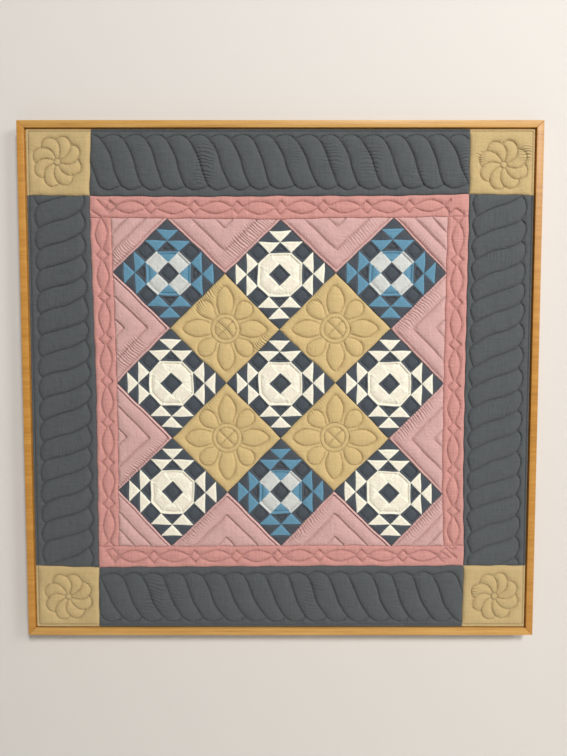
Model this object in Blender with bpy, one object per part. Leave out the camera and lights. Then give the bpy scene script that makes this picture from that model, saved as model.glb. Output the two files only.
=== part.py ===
"""A square patchwork wall quilt held in a plain oak floater frame.

The quilt faces -Y and its frame's back lies in the plane y = 0, where a wall would be.
The origin is the middle of the top rail's back face. Lengths are in metres, +Z is up.
Every panel is drawn in the quilt's own plane, as (across, up) from the quilt's middle.
"""
import math
from collections import namedtuple

import bmesh
import bpy
import numpy as np
from mathutils import Matrix
from mathutils import Vector
from mathutils.geometry import delaunay_2d_cdt

MM = 0.001

# Patchwork: square patches, five to a block, blocks set on point three by three
PATCH = 38.1 * MM
PATCHES = 5
BLOCK = PATCHES * PATCH
STEP = BLOCK * math.sqrt(2)
HALF_STEP = STEP / 2
MEDALLION = 1.5 * STEP
STRIP = 52.0 * MM
STRIP_OUT = MEDALLION + STRIP
BORDER = 156.5 * MM
QUILT = STRIP_OUT + BORDER
SEAM_GAP = 0.32 * MM

# Thickness of the quilt: at a stitch line, at a seam, and the crown added between them
STITCHED = 4.0 * MM
SEAMED = 5.0 * MM
CROWN = 5.0 * MM
PATCH_CROWN = 2.5 * MM
CROWN_REACH = 20.0 * MM

# How finely the panels are modelled
STRIP_BAYS = 12
BORDER_BAYS = 3
LINE_STOP = 2.5 * MM
CROWN_SPACING = 21.0 * MM
CROWN_CLEAR = 6.5 * MM
SEARCH_STEP = 6.0 * MM
MERGE = 0.6 * MM

# Oak floater frame: a thin face strip and a ledge behind the quilt's edge
REVEAL = 3.6 * MM
RAIL_FACE = 17.0 * MM
RAIL_DEPTH = 40.0 * MM
LEDGE_REACH = 25.0 * MM
LEDGE_DEPTH = 30.6 * MM
MITRE_GAP = 0.3 * MM
FRAME = QUILT + REVEAL + RAIL_FACE
QUILT_BACK = -(LEDGE_DEPTH + 0.3 * MM)
CENTRE_UP = (RAIL_FACE + LEDGE_REACH) / 2 - FRAME

Finish = namedtuple("Finish", "colour roughness")
COTTONS = {
    "cream": Finish((0.86, 0.79, 0.63), 0.9),
    "blue": Finish((0.115, 0.300, 0.445), 0.9),
    "tan": Finish((0.578, 0.423, 0.195), 0.9),
    "rose": Finish((0.631, 0.254, 0.235), 0.9),
    "blush": Finish((0.665, 0.392, 0.366), 0.9),
    "slate": Finish((0.082, 0.102, 0.112), 0.9),
}
OAK = Finish((0.610, 0.319, 0.080), 0.5)

# Where hand piecing drifts from the drawing: places in half steps from the middle, drift in mm
Drift = namedtuple("Drift", "across up right rise")
BLOCK_DRIFTS = (
    Drift(-2, 3, -5.6, -3.2),
    Drift(0, 3, 0.3, -5.6),
    Drift(2, 3, 4.7, -1.2),
    Drift(-3, 2, -3.8, 2.1),
    Drift(-1, 2, -1.0, -2.0),
    Drift(1, 2, -0.3, 0.6),
    Drift(3, 2, -0.3, 0.3),
    Drift(-2, 1, -0.6, 0.9),
    Drift(0, 1, -3.2, -2.4),
    Drift(2, 1, -0.3, -0.6),
    Drift(-3, 0, 1.3, 1.2),
    Drift(-1, 0, 1.5, 0.7),
    Drift(1, 0, 0.3, 1.2),
    Drift(3, 0, -2.6, -0.8),
    Drift(-2, -1, 2.0, -0.3),
    Drift(0, -1, 0.6, -0.3),
    Drift(2, -1, -1.8, -2.0),
    Drift(-3, -2, 2.0, 3.8),
    Drift(-1, -2, 2.6, -1.2),
    Drift(1, -2, -2.0, 1.8),
    Drift(3, -2, -1.8, -5.4),
    Drift(-2, -3, -2.3, -3.5),
    Drift(0, -3, 0.9, -2.0),
    Drift(2, -3, 6.5, -2.4),
)

# The same along the outer border's inner seam, places in multiples of its half width
BORDER_DRIFTS = (
    Drift(-1, 1, -5.5, -1.5),
    Drift(0, 1, 0.0, -1.3),
    Drift(1, 1, 0.6, 2.8),
    Drift(1, 0, -2.4, 0.0),
    Drift(1, -1, 2.3, -0.2),
    Drift(0, -1, 0.0, -2.3),
    Drift(-1, -1, 1.6, -4.8),
    Drift(-1, 0, 2.3, 0.0),
)
STRAIGHT_EDGE_PINS = 8

# The cable, by side: where its first turn crosses the border's middle, then a turn every pitch
CABLE_PITCH = 52.3 * MM
CABLE_FIRST = {"top": -459.0 * MM, "left": -490.8 * MM, "bottom": -456.6 * MM, "right": -486.4 * MM}

# One turn of the cable: along from its crossing, height in border widths
Knot = namedtuple("Knot", "along height")
CABLE_KNOTS = (
    Knot(-74.5 * MM, 0.850),
    Knot(-64.0 * MM, 0.886),
    Knot(-49.0 * MM, 0.908),
    Knot(-33.0 * MM, 0.883),
    Knot(-19.5 * MM, 0.800),
    Knot(-4.3 * MM, 0.600),
    Knot(5.2 * MM, 0.400),
    Knot(18.6 * MM, 0.200),
    Knot(31.0 * MM, 0.118),
    Knot(48.5 * MM, 0.088),
    Knot(62.5 * MM, 0.108),
    Knot(74.0 * MM, 0.145),
)

# Seed chain along the inner strip
SEED_PITCH = 102.5 * MM
SEED_LENGTH = 76.0 * MM
SEED_HALF_HEIGHT = 14.5 * MM
SEEDS = 8
SEED_PINCH = 1.5 * MM
SEED_SHIFTS = {"top": -0.5 * MM, "left": 5.0 * MM, "bottom": 8.0 * MM, "right": 7.0 * MM}

# Echo lines of the setting triangles
QUARTER_INCH = 6.0 * MM
ECHO_SPACING = 40.0 * MM
CORNER_ECHO = 30.5 * MM

# Flower of the plain blocks: rings, a cross, and eight petals
FLOWER_RINGS = (26.3 * MM, 36.5 * MM)
Petal = namedtuple("Petal", "root tip root_width width fullest")
LONG_PETAL = Petal(39 * MM, 103 * MM, 14 * MM, 21 * MM, 0.45)
ROUND_PETAL = Petal(40 * MM, 90 * MM, 8 * MM, 20 * MM, 0.55)

# Pinwheel flower of the corner squares
WHEEL_EYE = 8.0 * MM
WHEEL_NOTCH = 54.0 * MM
WHEEL_REACH = 64.0 * MM
WHEEL_PETALS = 8
WHEEL_SWEEP = math.radians(24)
WHEEL_TURN = math.radians(5)


def clear_scene():
    """Remove every object that the scene starts with."""
    for thing in list(bpy.data.objects):
        bpy.data.objects.remove(thing, do_unlink=True)


def make_collection(name):
    """Return a new collection that is linked to the scene."""
    group = bpy.data.collections.new(name)
    bpy.context.scene.collection.children.link(group)
    return group


def make_material(name, finish):
    """Return a Principled material of one colour."""
    material = bpy.data.materials.new(name)
    material.use_nodes = True
    shader = material.node_tree.nodes["Principled BSDF"]
    shader.inputs["Base Color"].default_value = (*finish.colour, 1.0)
    shader.inputs["Roughness"].default_value = finish.roughness
    shader.inputs["Metallic"].default_value = 0.0
    return material


def add_object(group, name, bm, finish):
    """Turn a bmesh into an object of the group with a material of its own."""
    mesh = bpy.data.meshes.new(name)
    bm.to_mesh(mesh)
    bm.free()
    mesh.materials.append(make_material(name + "_finish", finish))
    thing = bpy.data.objects.new(name, mesh)
    group.objects.link(thing)
    return thing


class HandPiecing:
    """Bends the drawing a little, as the sewn seams have drifted: a thin plate through the drifts."""

    def __init__(self):
        """Collect the drifts, pin the straight outer edge and solve for the plate."""
        rows = []
        for drift in BLOCK_DRIFTS:
            rows.append((drift.across * HALF_STEP, drift.up * HALF_STEP, drift.right * MM, drift.rise * MM))
        for drift in BORDER_DRIFTS:
            rows.append((drift.across * STRIP_OUT, drift.up * STRIP_OUT, drift.right * MM, drift.rise * MM))
        for pin in range(STRAIGHT_EDGE_PINS):
            along = QUILT * (2 * pin / STRAIGHT_EDGE_PINS - 1)
            for across, up in turns_of((along, QUILT)):
                rows.append((across, up, 0.0, 0.0))
        table = np.array(rows)
        self.places = table[:, :2]
        count = len(table)
        system = np.zeros((count + 3, count + 3))
        system[:count, :count] = self.bending(self.places)
        system[:count, count] = 1.0
        system[:count, count + 1:] = self.places
        system[count:, :count] = system[:count, count:].T
        drifts = np.zeros((count + 3, 2))
        drifts[:count] = table[:, 2:]
        self.weights = np.linalg.solve(system, drifts)

    def bending(self, points):
        """Return the thin-plate kernel between points and the places of the drifts."""
        square = ((points[:, None, :] - self.places[None, :, :]) ** 2).sum(axis=2)
        return square * np.log(square + 1e-12)

    def apply(self, points):
        """Return the points where the sewn quilt has them."""
        points = np.asarray(points, dtype=float)
        count = len(self.places)
        drift = self.bending(points) @ self.weights[:count]
        drift += self.weights[count] + points @ self.weights[count + 1:]
        return points + drift


def turns_of(point):
    """Return the point and its three quarter turns about the middle."""
    across, up = point
    return [(across, up), (-up, across), (-across, -up), (up, -across)]


def turn_points(points, quarters):
    """Turn points anticlockwise by quarter turns about the middle."""
    return [turns_of(point)[quarters % 4] for point in points]


def seam(start, end, bays):
    """Return the points of a straight seam in equal bays, without its end."""
    start = Vector(start)
    end = Vector(end)
    return [tuple(start.lerp(end, bay / bays)) for bay in range(bays)]


def loop_of(corners, bays):
    """Return a closed outline through the corners, one count of bays for each side."""
    outline = []
    for index, corner in enumerate(corners):
        outline += seam(corner, corners[(index + 1) % len(corners)], bays[index])
    return outline


def inset(outline, distance):
    """Return a convex anticlockwise outline moved inwards by a distance."""
    moved = []
    count = len(outline)
    for index in range(count):
        here = Vector(outline[index])
        into = (here - Vector(outline[index - 1])).normalized()
        away = (Vector(outline[(index + 1) % count]) - here).normalized()
        left_in = Vector((-into.y, into.x))
        left_out = Vector((-away.y, away.x))
        moved.append(tuple(here + (left_in + left_out) * (distance / (1 + left_in.dot(left_out)))))
    return moved


def clip_piece(start, end, outline):
    """Return the part of a straight line inside a convex outline, or None."""
    low = 0.0
    high = 1.0
    start = Vector(start)
    along = Vector(end) - start
    for index, corner in enumerate(outline):
        edge = Vector(corner) - Vector(outline[index - 1])
        normal = Vector((-edge.y, edge.x))
        inside = normal.dot(start - Vector(corner))
        rate = normal.dot(along)
        if abs(rate) < 1e-12:
            if inside < 0:
                return None
            continue
        crossing = -inside / rate
        if rate > 0:
            low = max(low, crossing)
        else:
            high = min(high, crossing)
    if high - low < 1e-6:
        return None
    return tuple(start + along * low), tuple(start + along * high)


def straight_pieces(lines, outline):
    """Return every straight piece of the lines that lies inside the outline."""
    pieces = []
    for line in lines:
        for start, end in zip(line, line[1:]):
            piece = clip_piece(start, end, outline)
            if piece:
                pieces.append(piece)
    return pieces


def distance_to(points, pieces):
    """Return each point's distance to the nearest straight piece."""
    points = np.asarray(points, dtype=float)
    nearest = np.full(len(points), np.inf)
    for start, end in pieces:
        start = np.array(start)
        along = np.array(end) - start
        length = max(float(along @ along), 1e-18)
        share = np.clip((points - start) @ along / length, 0.0, 1.0)
        foot = start + share[:, None] * along
        nearest = np.minimum(nearest, np.linalg.norm(points - foot, axis=1))
    return nearest


def inside_outline(points, outline):
    """Return which points lie inside a convex anticlockwise outline."""
    kept = np.ones(len(points), dtype=bool)
    for index, corner in enumerate(outline):
        edge = np.array(corner) - np.array(outline[index - 1])
        offset = points - np.array(corner)
        kept &= edge[0] * offset[:, 1] - edge[1] * offset[:, 0] > 0
    return kept


def crown_points(outline, pieces):
    """Return well spaced points on the crowns, those furthest from any stitching first."""
    corners = np.array(outline)
    low = corners.min(axis=0)
    high = corners.max(axis=0)
    across = np.arange(low[0] + SEARCH_STEP / 2, high[0], SEARCH_STEP)
    up = np.arange(low[1] + SEARCH_STEP / 2, high[1], SEARCH_STEP)
    grid = np.stack(np.meshgrid(across, up), axis=-1).reshape(-1, 2)
    grid = grid[inside_outline(grid, outline)]
    away = distance_to(grid, pieces + list(zip(outline, outline[1:] + outline[:1])))
    chosen = []
    for index in np.argsort(-away, kind="stable"):
        if away[index] < CROWN_CLEAR:
            break
        point = grid[index]
        if all(np.hypot(*(point - other)) > CROWN_SPACING for other in chosen):
            chosen.append(point)
    return [tuple(point) for point in chosen]


def sewn_thickness(away, crown):
    """Return the quilt's thickness at a distance from the nearest stitching."""
    return STITCHED + crown * np.sqrt(np.clip(away / CROWN_REACH, 0.0, 1.0))


def add_panel(group, piecing, name, outline, lines, cotton, crown=CROWN):
    """Add one panel: a sheet of triangles along its stitch lines, puffed and closed at the back."""
    outline = inset(outline, SEAM_GAP / 2)
    pieces = straight_pieces(lines, inset(outline, LINE_STOP))
    crowns = crown_points(outline, pieces)
    flat = outline + [point for piece in pieces for point in piece] + crowns
    sewn = piecing.apply(flat)
    rim = len(outline)
    edges = [(rim + 2 * index, rim + 2 * index + 1) for index in range(len(pieces))]
    points, _, faces, origins, _, _ = delaunay_2d_cdt(
        [Vector(point) for point in sewn], edges, [list(range(rim))], 1, MERGE)
    on_rim = [any(origin < rim for origin in sources) for sources in origins]
    sewn_pieces = [(sewn[start], sewn[end]) for start, end in edges]
    sewn_rim = [(sewn[index], sewn[(index + 1) % rim]) for index in range(rim)]
    away = distance_to([tuple(point) for point in points], sewn_pieces + sewn_rim)
    thickness = sewn_thickness(away, crown)

    bm = bmesh.new()
    verts = [bm.verts.new((point.x, 0.0, point.y)) for point in points]
    for face in faces:
        bm.faces.new([verts[index] for index in face])
    bm.verts.index_update()
    depth = {}
    for index, vert in enumerate(verts):
        depth[vert.co.to_tuple(7)] = SEAMED if on_rim[index] else float(thickness[index])
    back = bm.faces[:]
    raised = bmesh.ops.extrude_face_region(bm, geom=back)
    for vert in raised["geom"]:
        if isinstance(vert, bmesh.types.BMVert):
            vert.co.y = -depth[vert.co.to_tuple(7)]
    flat_back = [face for face in bm.faces if all(abs(vert.co.y) < 1e-9 for vert in face.verts)]
    bmesh.ops.dissolve_faces(bm, faces=flat_back, use_verts=False)
    bmesh.ops.recalc_face_normals(bm, faces=bm.faces[:])
    thing = add_object(group, name, bm, COTTONS[cotton])
    thing.location = (0.0, QUILT_BACK, CENTRE_UP)
    return thing


def block_corners(column, row):
    """Return a block's corners, right, top, left and bottom, from its place in half steps."""
    across = column * HALF_STEP
    up = row * HALF_STEP
    right = (across + HALF_STEP, up)
    top = (across, up + HALF_STEP)
    left = (across - HALF_STEP, up)
    bottom = (across, up - HALF_STEP)
    return [right, top, left, bottom]


def block_point(corners, right, left):
    """Return the point of a block at a number of patches along its two lower sides."""
    low = Vector(corners[3])
    along_right = (Vector(corners[0]) - low) / PATCHES
    along_left = (Vector(corners[2]) - low) / PATCHES
    return tuple(low + along_right * right + along_left * left)


def patch_lines(corners):
    """Return the seams of a pieced block: a grid of patches, split across its four corners."""
    lines = []
    for count in range(1, PATCHES):
        for side in range(PATCHES):
            lines.append([block_point(corners, count, side), block_point(corners, count, side + 1)])
            lines.append([block_point(corners, side, count), block_point(corners, side + 1, count)])
    far = PATCHES - 2
    for right in (0, 1, far, far + 1):
        for left in (0, 1, far, far + 1):
            rising = (right < 2) == (left < 2)
            first = (right + 1, left) if rising else (right, left)
            second = (right, left + 1) if rising else (right + 1, left + 1)
            lines.append([block_point(corners, *first), block_point(corners, *second)])
    return lines


def petal_line(petal, middle, heading, steps=4):
    """Return one petal's outline as a line from its root round the tip and back."""
    half = []
    for step in range(steps * 2 + 1):
        share = math.sin(step / (steps * 2) * math.pi / 2)
        if share < petal.fullest:
            rise = math.sin(share / petal.fullest * math.pi / 2)
            width = petal.root_width + (petal.width - petal.root_width) * rise
        else:
            fall = (share - petal.fullest) / (1 - petal.fullest)
            width = petal.width * math.sqrt(max(0.0, 1 - fall ** 2))
        half.append((petal.root + (petal.tip - petal.root) * share, width))
    both = half + [(along, -width) for along, width in reversed(half[:-1])]
    turn = Matrix.Rotation(heading, 2)
    return [tuple(Vector(middle) + turn @ Vector(point)) for point in both]


def around(middle, radius, angle):
    """Return the point at a radius and an angle about the middle."""
    return (middle[0] + radius * math.cos(angle), middle[1] + radius * math.sin(angle))


def ring_line(middle, radius, sides):
    """Return a ring as a closed line."""
    return [around(middle, radius, 2 * math.pi * side / sides) for side in range(sides + 1)]


def flower_lines(middle):
    """Return the flower of a plain block."""
    lines = [ring_line(middle, radius, 16) for radius in FLOWER_RINGS]
    for quarter in range(4):
        heading = quarter * math.pi / 2
        lines.append(petal_line(LONG_PETAL, middle, heading))
        lines.append(petal_line(ROUND_PETAL, middle, heading + math.pi / 4))
        lines.append([middle, around(middle, FLOWER_RINGS[0], heading + math.pi / 4)])
    return lines


def wheel_lines(middle, turn):
    """Return the pinwheel flower of a corner square."""
    lines = [ring_line(middle, WHEEL_EYE, 8)]
    rim = []
    for petal in range(WHEEL_PETALS):
        notch = turn + 2 * math.pi * petal / WHEEL_PETALS
        spoke = []
        for share in (0.0, 0.25, 0.5, 0.75, 1.0):
            radius = WHEEL_EYE + (WHEEL_NOTCH - WHEEL_EYE) * share
            angle = notch - WHEEL_SWEEP * (1 - share ** 2)
            spoke.append(around(middle, radius, angle))
        lines.append(spoke)
        for share in (0.0, 0.25, 0.5, 0.75):
            radius = WHEEL_NOTCH + (WHEEL_REACH - WHEEL_NOTCH) * math.sin(math.pi * share)
            angle = notch + 2 * math.pi / WHEEL_PETALS * share
            rim.append(around(middle, radius, angle))
    lines.append(rim + rim[:1])
    return lines


def echo_lines(square_corner, first, second):
    """Return a setting triangle's lines: one beside its block seams, then chevrons along them."""
    corner = Vector(square_corner)
    first_way = (Vector(first) - corner).normalized()
    second_way = (Vector(second) - corner).normalized()
    reach = (Vector(first) - corner).length
    lines = []
    inwards = QUARTER_INCH
    spacing = ECHO_SPACING - QUARTER_INCH
    while inwards < reach / 2:
        bend = corner + (first_way + second_way) * inwards
        lines.append([tuple(bend + first_way * reach), tuple(bend), tuple(bend + second_way * reach)])
        inwards += spacing
        spacing = ECHO_SPACING
    return lines


def corner_lines(square_corner, first, second):
    """Return a corner triangle's lines, all along its long side."""
    corner = Vector(square_corner)
    first_way = Vector(first) - corner
    second_way = Vector(second) - corner
    height = first_way.length / math.sqrt(2)
    lines = []
    for echo_count in range(3):
        share = 1 - (QUARTER_INCH + echo_count * CORNER_ECHO) / height
        lines.append([tuple(corner + first_way * share), tuple(corner + second_way * share)])
    return lines


def seed_lines(shift):
    """Return the chain of seeds and small diamonds along the top inner strip, moved along it."""
    middle = MEDALLION + STRIP / 2
    lines = []
    for side in (1, -1):
        knots = []
        for seed in range(SEEDS):
            centre = (seed - (SEEDS - 1) / 2) * SEED_PITCH + shift
            half = SEED_LENGTH / 2
            for share in (-1.0, -0.6, -0.2, 0.2, 0.6, 1.0):
                height = SEED_PINCH + (SEED_HALF_HEIGHT - SEED_PINCH) * math.cos(share * math.pi / 2)
                knots.append((centre + share * half, middle + side * height))
            knots.append((centre + SEED_PITCH / 2, middle + side * SEED_HALF_HEIGHT))
        first = (knots[0][0] - (SEED_PITCH - SEED_LENGTH) / 2, middle + side * SEED_HALF_HEIGHT)
        lines.append([first] + knots)
    return lines


def cable_lines(side):
    """Return the cable of a border that is turned to the top, and its hem line."""
    lines = []
    crossing = CABLE_FIRST[side]
    while crossing + CABLE_KNOTS[0].along < STRIP_OUT:
        lines.append([(crossing + knot.along, STRIP_OUT + knot.height * BORDER) for knot in CABLE_KNOTS])
        crossing += CABLE_PITCH
    lines.append(hem_line())
    return lines


def hem_line():
    """Return the line of stitches along the quilt's top edge."""
    return [(-QUILT, QUILT - QUARTER_INCH), (QUILT, QUILT - QUARTER_INCH)]


def add_blocks(group, piecing):
    """Add the nine pieced blocks and the four plain blocks between them."""
    cottons = (("blue", "cream", "blue"), ("cream", "cream", "cream"), ("cream", "blue", "cream"))
    rows = ("top", "middle", "bottom")
    columns = ("left", "centre", "right")
    for row_index, row in enumerate(rows):
        for column_index, column in enumerate(columns):
            corners = block_corners(2 * (column_index - 1), 2 * (1 - row_index))
            outline = loop_of(corners, [PATCHES] * 4)
            name = f"block_{row}_{column}"
            cotton = cottons[row_index][column_index]
            add_panel(group, piecing, name, outline, patch_lines(corners), cotton, PATCH_CROWN)
    for row, up in (("upper", 1), ("lower", -1)):
        for column, across in (("left", -1), ("right", 1)):
            corners = block_corners(across, up)
            outline = loop_of(corners, [PATCHES] * 4)
            middle = (across * HALF_STEP, up * HALF_STEP)
            add_panel(group, piecing, f"plain_block_{row}_{column}", outline, flower_lines(middle), "tan")


def add_setting_triangles(group, piecing):
    """Add the eight side triangles and four corner triangles that square off the blocks."""
    sides = (("top", 0), ("left", 1), ("bottom", 2), ("right", 3))
    for side, quarters in sides:
        for number, across in ((1, -1), (2, 1)):
            low = (across * HALF_STEP, 2 * HALF_STEP)
            right = ((across + 1) * HALF_STEP, MEDALLION)
            left = ((across - 1) * HALF_STEP, MEDALLION)
            low, right, left = turn_points([low, right, left], quarters)
            outline = loop_of([low, right, left], [PATCHES, STRIP_BAYS // 3, PATCHES])
            lines = echo_lines(low, right, left)
            add_panel(group, piecing, f"side_triangle_{side}_{number}", outline, lines, "blush")
    corners = (("top_right", 0), ("top_left", 1), ("bottom_left", 2), ("bottom_right", 3))
    for name, quarters in corners:
        square = (MEDALLION, MEDALLION)
        left = (2 * HALF_STEP, MEDALLION)
        low = (MEDALLION, 2 * HALF_STEP)
        square, left, low = turn_points([square, left, low], quarters)
        outline = loop_of([square, left, low], [STRIP_BAYS // 6, PATCHES, STRIP_BAYS // 6])
        lines = corner_lines(square, left, low)
        add_panel(group, piecing, f"corner_triangle_{name}", outline, lines, "blush")


def strip_outline(is_long):
    """Return the top inner strip's outline; a long one runs over the ends of a short one."""
    low = [(-MEDALLION, MEDALLION), (MEDALLION, MEDALLION)]
    high = [(MEDALLION, STRIP_OUT), (-MEDALLION, STRIP_OUT)]
    if not is_long:
        return loop_of(low + high, [STRIP_BAYS, 1, STRIP_BAYS, 1])
    right_end = [(STRIP_OUT, MEDALLION), (STRIP_OUT, STRIP_OUT)]
    left_end = [(-STRIP_OUT, STRIP_OUT), (-STRIP_OUT, MEDALLION)]
    return loop_of(low + right_end + high + left_end, [STRIP_BAYS, 1, 1, 1, STRIP_BAYS, 1, 1, 1])


def border_outline():
    """Return the top outer border's outline, with the strip's bays along its inner seam."""
    corners = [(-STRIP_OUT, STRIP_OUT), (-MEDALLION, STRIP_OUT), (MEDALLION, STRIP_OUT)]
    corners += [(STRIP_OUT, STRIP_OUT), (STRIP_OUT, QUILT), (-STRIP_OUT, QUILT)]
    return loop_of(corners, [1, STRIP_BAYS, 1, BORDER_BAYS, STRIP_BAYS, BORDER_BAYS])


def add_borders(group, piecing):
    """Add the inner strips, the outer borders and the corner squares."""
    for side, quarters in (("top", 0), ("left", 1), ("bottom", 2), ("right", 3)):
        strip = turn_points(strip_outline(quarters % 2 == 0), quarters)
        chain = [turn_points(line, quarters) for line in seed_lines(SEED_SHIFTS[side])]
        add_panel(group, piecing, f"inner_strip_{side}", strip, chain, "rose")
        border = turn_points(border_outline(), quarters)
        cable = [turn_points(line, quarters) for line in cable_lines(side)]
        add_panel(group, piecing, f"outer_border_{side}", border, cable, "slate")
    for side, quarters in (("top_right", 0), ("top_left", 1), ("bottom_left", 2), ("bottom_right", 3)):
        corners = [(STRIP_OUT, STRIP_OUT), (QUILT, STRIP_OUT), (QUILT, QUILT), (STRIP_OUT, QUILT)]
        outline = turn_points(loop_of(corners, [BORDER_BAYS] * 4), quarters)
        middle = (STRIP_OUT + BORDER / 2, STRIP_OUT + BORDER / 2)
        hem = [hem_line(), [(up, across) for across, up in hem_line()]]
        lines = wheel_lines(middle, WHEEL_TURN) + hem
        lines = [turn_points(line, quarters) for line in lines]
        add_panel(group, piecing, f"corner_square_{side}", outline, lines, "tan")


def add_frame(group):
    """Add the four mitred rails, each one stepped moulding swept along its side."""
    profile = [(0.0, 0.0), (0.0, -RAIL_DEPTH), (RAIL_FACE, -RAIL_DEPTH), (RAIL_FACE, -LEDGE_DEPTH)]
    profile += [(RAIL_FACE + LEDGE_REACH, -LEDGE_DEPTH), (RAIL_FACE + LEDGE_REACH, 0.0)]
    slack = MITRE_GAP / math.sqrt(2)
    for side, quarters in (("top", 0), ("right", 1), ("bottom", 2), ("left", 3)):
        bm = bmesh.new()
        verts = [bm.verts.new((-FRAME, depth, FRAME - inwards)) for inwards, depth in profile]
        end = bm.faces.new(verts)
        swept = bmesh.ops.extrude_face_region(bm, geom=[end])
        moved = [item for item in swept["geom"] if isinstance(item, bmesh.types.BMVert)]
        bmesh.ops.translate(bm, verts=moved, vec=(2 * FRAME, 0.0, 0.0))
        for way in (1, -1):
            cut = bmesh.ops.bisect_plane(
                bm, geom=bm.verts[:] + bm.edges[:] + bm.faces[:],
                plane_co=(way * (FRAME - slack), 0.0, FRAME), plane_no=(way, 0.0, -1.0), clear_outer=True)
            open_edges = [item for item in cut["geom_cut"] if isinstance(item, bmesh.types.BMEdge)]
            bmesh.ops.contextual_create(bm, geom=open_edges)
        bmesh.ops.recalc_face_normals(bm, faces=bm.faces[:])
        rail = add_object(group, f"frame_rail_{side}", bm, OAK)
        rail.location = (0.0, 0.0, CENTRE_UP)
        rail.rotation_euler = (0.0, quarters * math.pi / 2, 0.0)


def main():
    """Build the framed quilt."""
    clear_scene()
    group = make_collection("framed_patchwork_quilt")
    piecing = HandPiecing()
    add_blocks(group, piecing)
    add_setting_triangles(group, piecing)
    add_borders(group, piecing)
    add_frame(group)


main()
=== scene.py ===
"""Dresses a packed patchwork wall quilt and its oak floater frame.

The quilt faces -Y. Each panel is drawn flat, as (across, up) in metres from the quilt's middle,
bent a little as the sewn seams have drifted, and then puffed between its stitch lines.
"""

import logging
import math
from dataclasses import dataclass, field
from enum import Enum
from typing import Any, Callable, ClassVar, Optional, Sequence

import bpy
import numpy as np
from mathutils import Matrix, Vector


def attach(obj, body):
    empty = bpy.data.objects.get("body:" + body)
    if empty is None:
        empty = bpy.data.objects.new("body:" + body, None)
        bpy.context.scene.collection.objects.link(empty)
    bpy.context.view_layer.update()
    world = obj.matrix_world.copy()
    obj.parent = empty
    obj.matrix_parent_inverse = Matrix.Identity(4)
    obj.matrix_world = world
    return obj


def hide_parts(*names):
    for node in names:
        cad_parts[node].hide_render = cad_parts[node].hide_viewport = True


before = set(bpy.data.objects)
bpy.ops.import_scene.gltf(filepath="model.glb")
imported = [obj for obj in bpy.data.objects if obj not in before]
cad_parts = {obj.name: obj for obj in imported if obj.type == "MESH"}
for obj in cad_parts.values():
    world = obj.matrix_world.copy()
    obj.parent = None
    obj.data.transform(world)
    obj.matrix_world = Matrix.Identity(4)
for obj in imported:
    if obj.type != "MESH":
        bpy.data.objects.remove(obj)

LOG = logging.getLogger("quilt")
MM = 0.001
Point = tuple[float, float]
Colour = tuple[float, float, float]


class Side(Enum):
    """A side of the quilt, with the quarter turns that bring the top side there."""

    TOP = 0
    LEFT = 1
    BOTTOM = 2
    RIGHT = 3

    @property
    def label(self) -> str:
        """The side's name in a piece's name."""
        return self.name.lower()

    @property
    def corner(self) -> str:
        """The name of the corner at the side's clockwise end."""
        return ("top_right", "top_left", "bottom_left", "bottom_right")[self.value]

    def turn(self, points: Any) -> np.ndarray:
        """Return points of the top side turned to this side.

        Args:
            points: places on the flat quilt, in metres.

        Returns:
            The turned places.
        """
        cosine = (1, 0, -1, 0)[self.value]
        sine = (0, 1, 0, -1)[self.value]
        return np.asarray(points, dtype=float) @ np.array([[cosine, sine], [-sine, cosine]])


class Hold(Enum):
    """How far a line of stitches holds the cloth down, as a share of the full puff."""

    QUILTING = 0.0
    PATCH_SEAM = 0.42
    PANEL_SEAM = 0.26


@dataclass(frozen=True)
class Layout:
    """Sizes that the whole quilt and its frame are drawn from, in metres."""

    patch: float = 38.1 * MM
    patches: int = 5
    strip: float = 52.0 * MM
    border: float = 156.5 * MM
    seam_gap: float = 0.32 * MM
    reveal: float = 3.6 * MM
    rail_face: float = 17.0 * MM
    rail_depth: float = 40.0 * MM
    ledge_reach: float = 25.0 * MM
    ledge_depth: float = 30.6 * MM
    mitre_gap: float = 0.3 * MM
    quarter_inch: float = 6.0 * MM
    hem: float = 4.6 * MM
    cell: float = 2.12 * MM

    @property
    def block(self) -> float:
        """Side of a block."""
        return self.patch * self.patches

    @property
    def half_step(self) -> float:
        """Half of a block's diagonal."""
        return self.block / math.sqrt(2)

    @property
    def medallion(self) -> float:
        """Half width of the pieced middle."""
        return 3 * self.half_step

    @property
    def strip_out(self) -> float:
        """Half width out to the inner strips' outer seam."""
        return self.medallion + self.strip

    @property
    def quilt(self) -> float:
        """Half width of the quilt."""
        return self.strip_out + self.border

    @property
    def frame(self) -> float:
        """Half width of the frame."""
        return self.quilt + self.reveal + self.rail_face

    @property
    def back(self) -> float:
        """Where the quilt's back lies, along Y."""
        return -(self.ledge_depth + 0.3 * MM)

    @property
    def centre_up(self) -> float:
        """Height of the quilt's middle."""
        return (self.rail_face + self.ledge_reach) / 2 - self.frame


LAYOUT = Layout()
CELL_CORNERS = ((0, 0), (1, 0), (1, 1), (0, 1))
CORNERS_OF_CELLS = (np.s_[:-1, :-1], np.s_[1:, :-1], np.s_[1:, 1:], np.s_[:-1, 1:])


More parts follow.
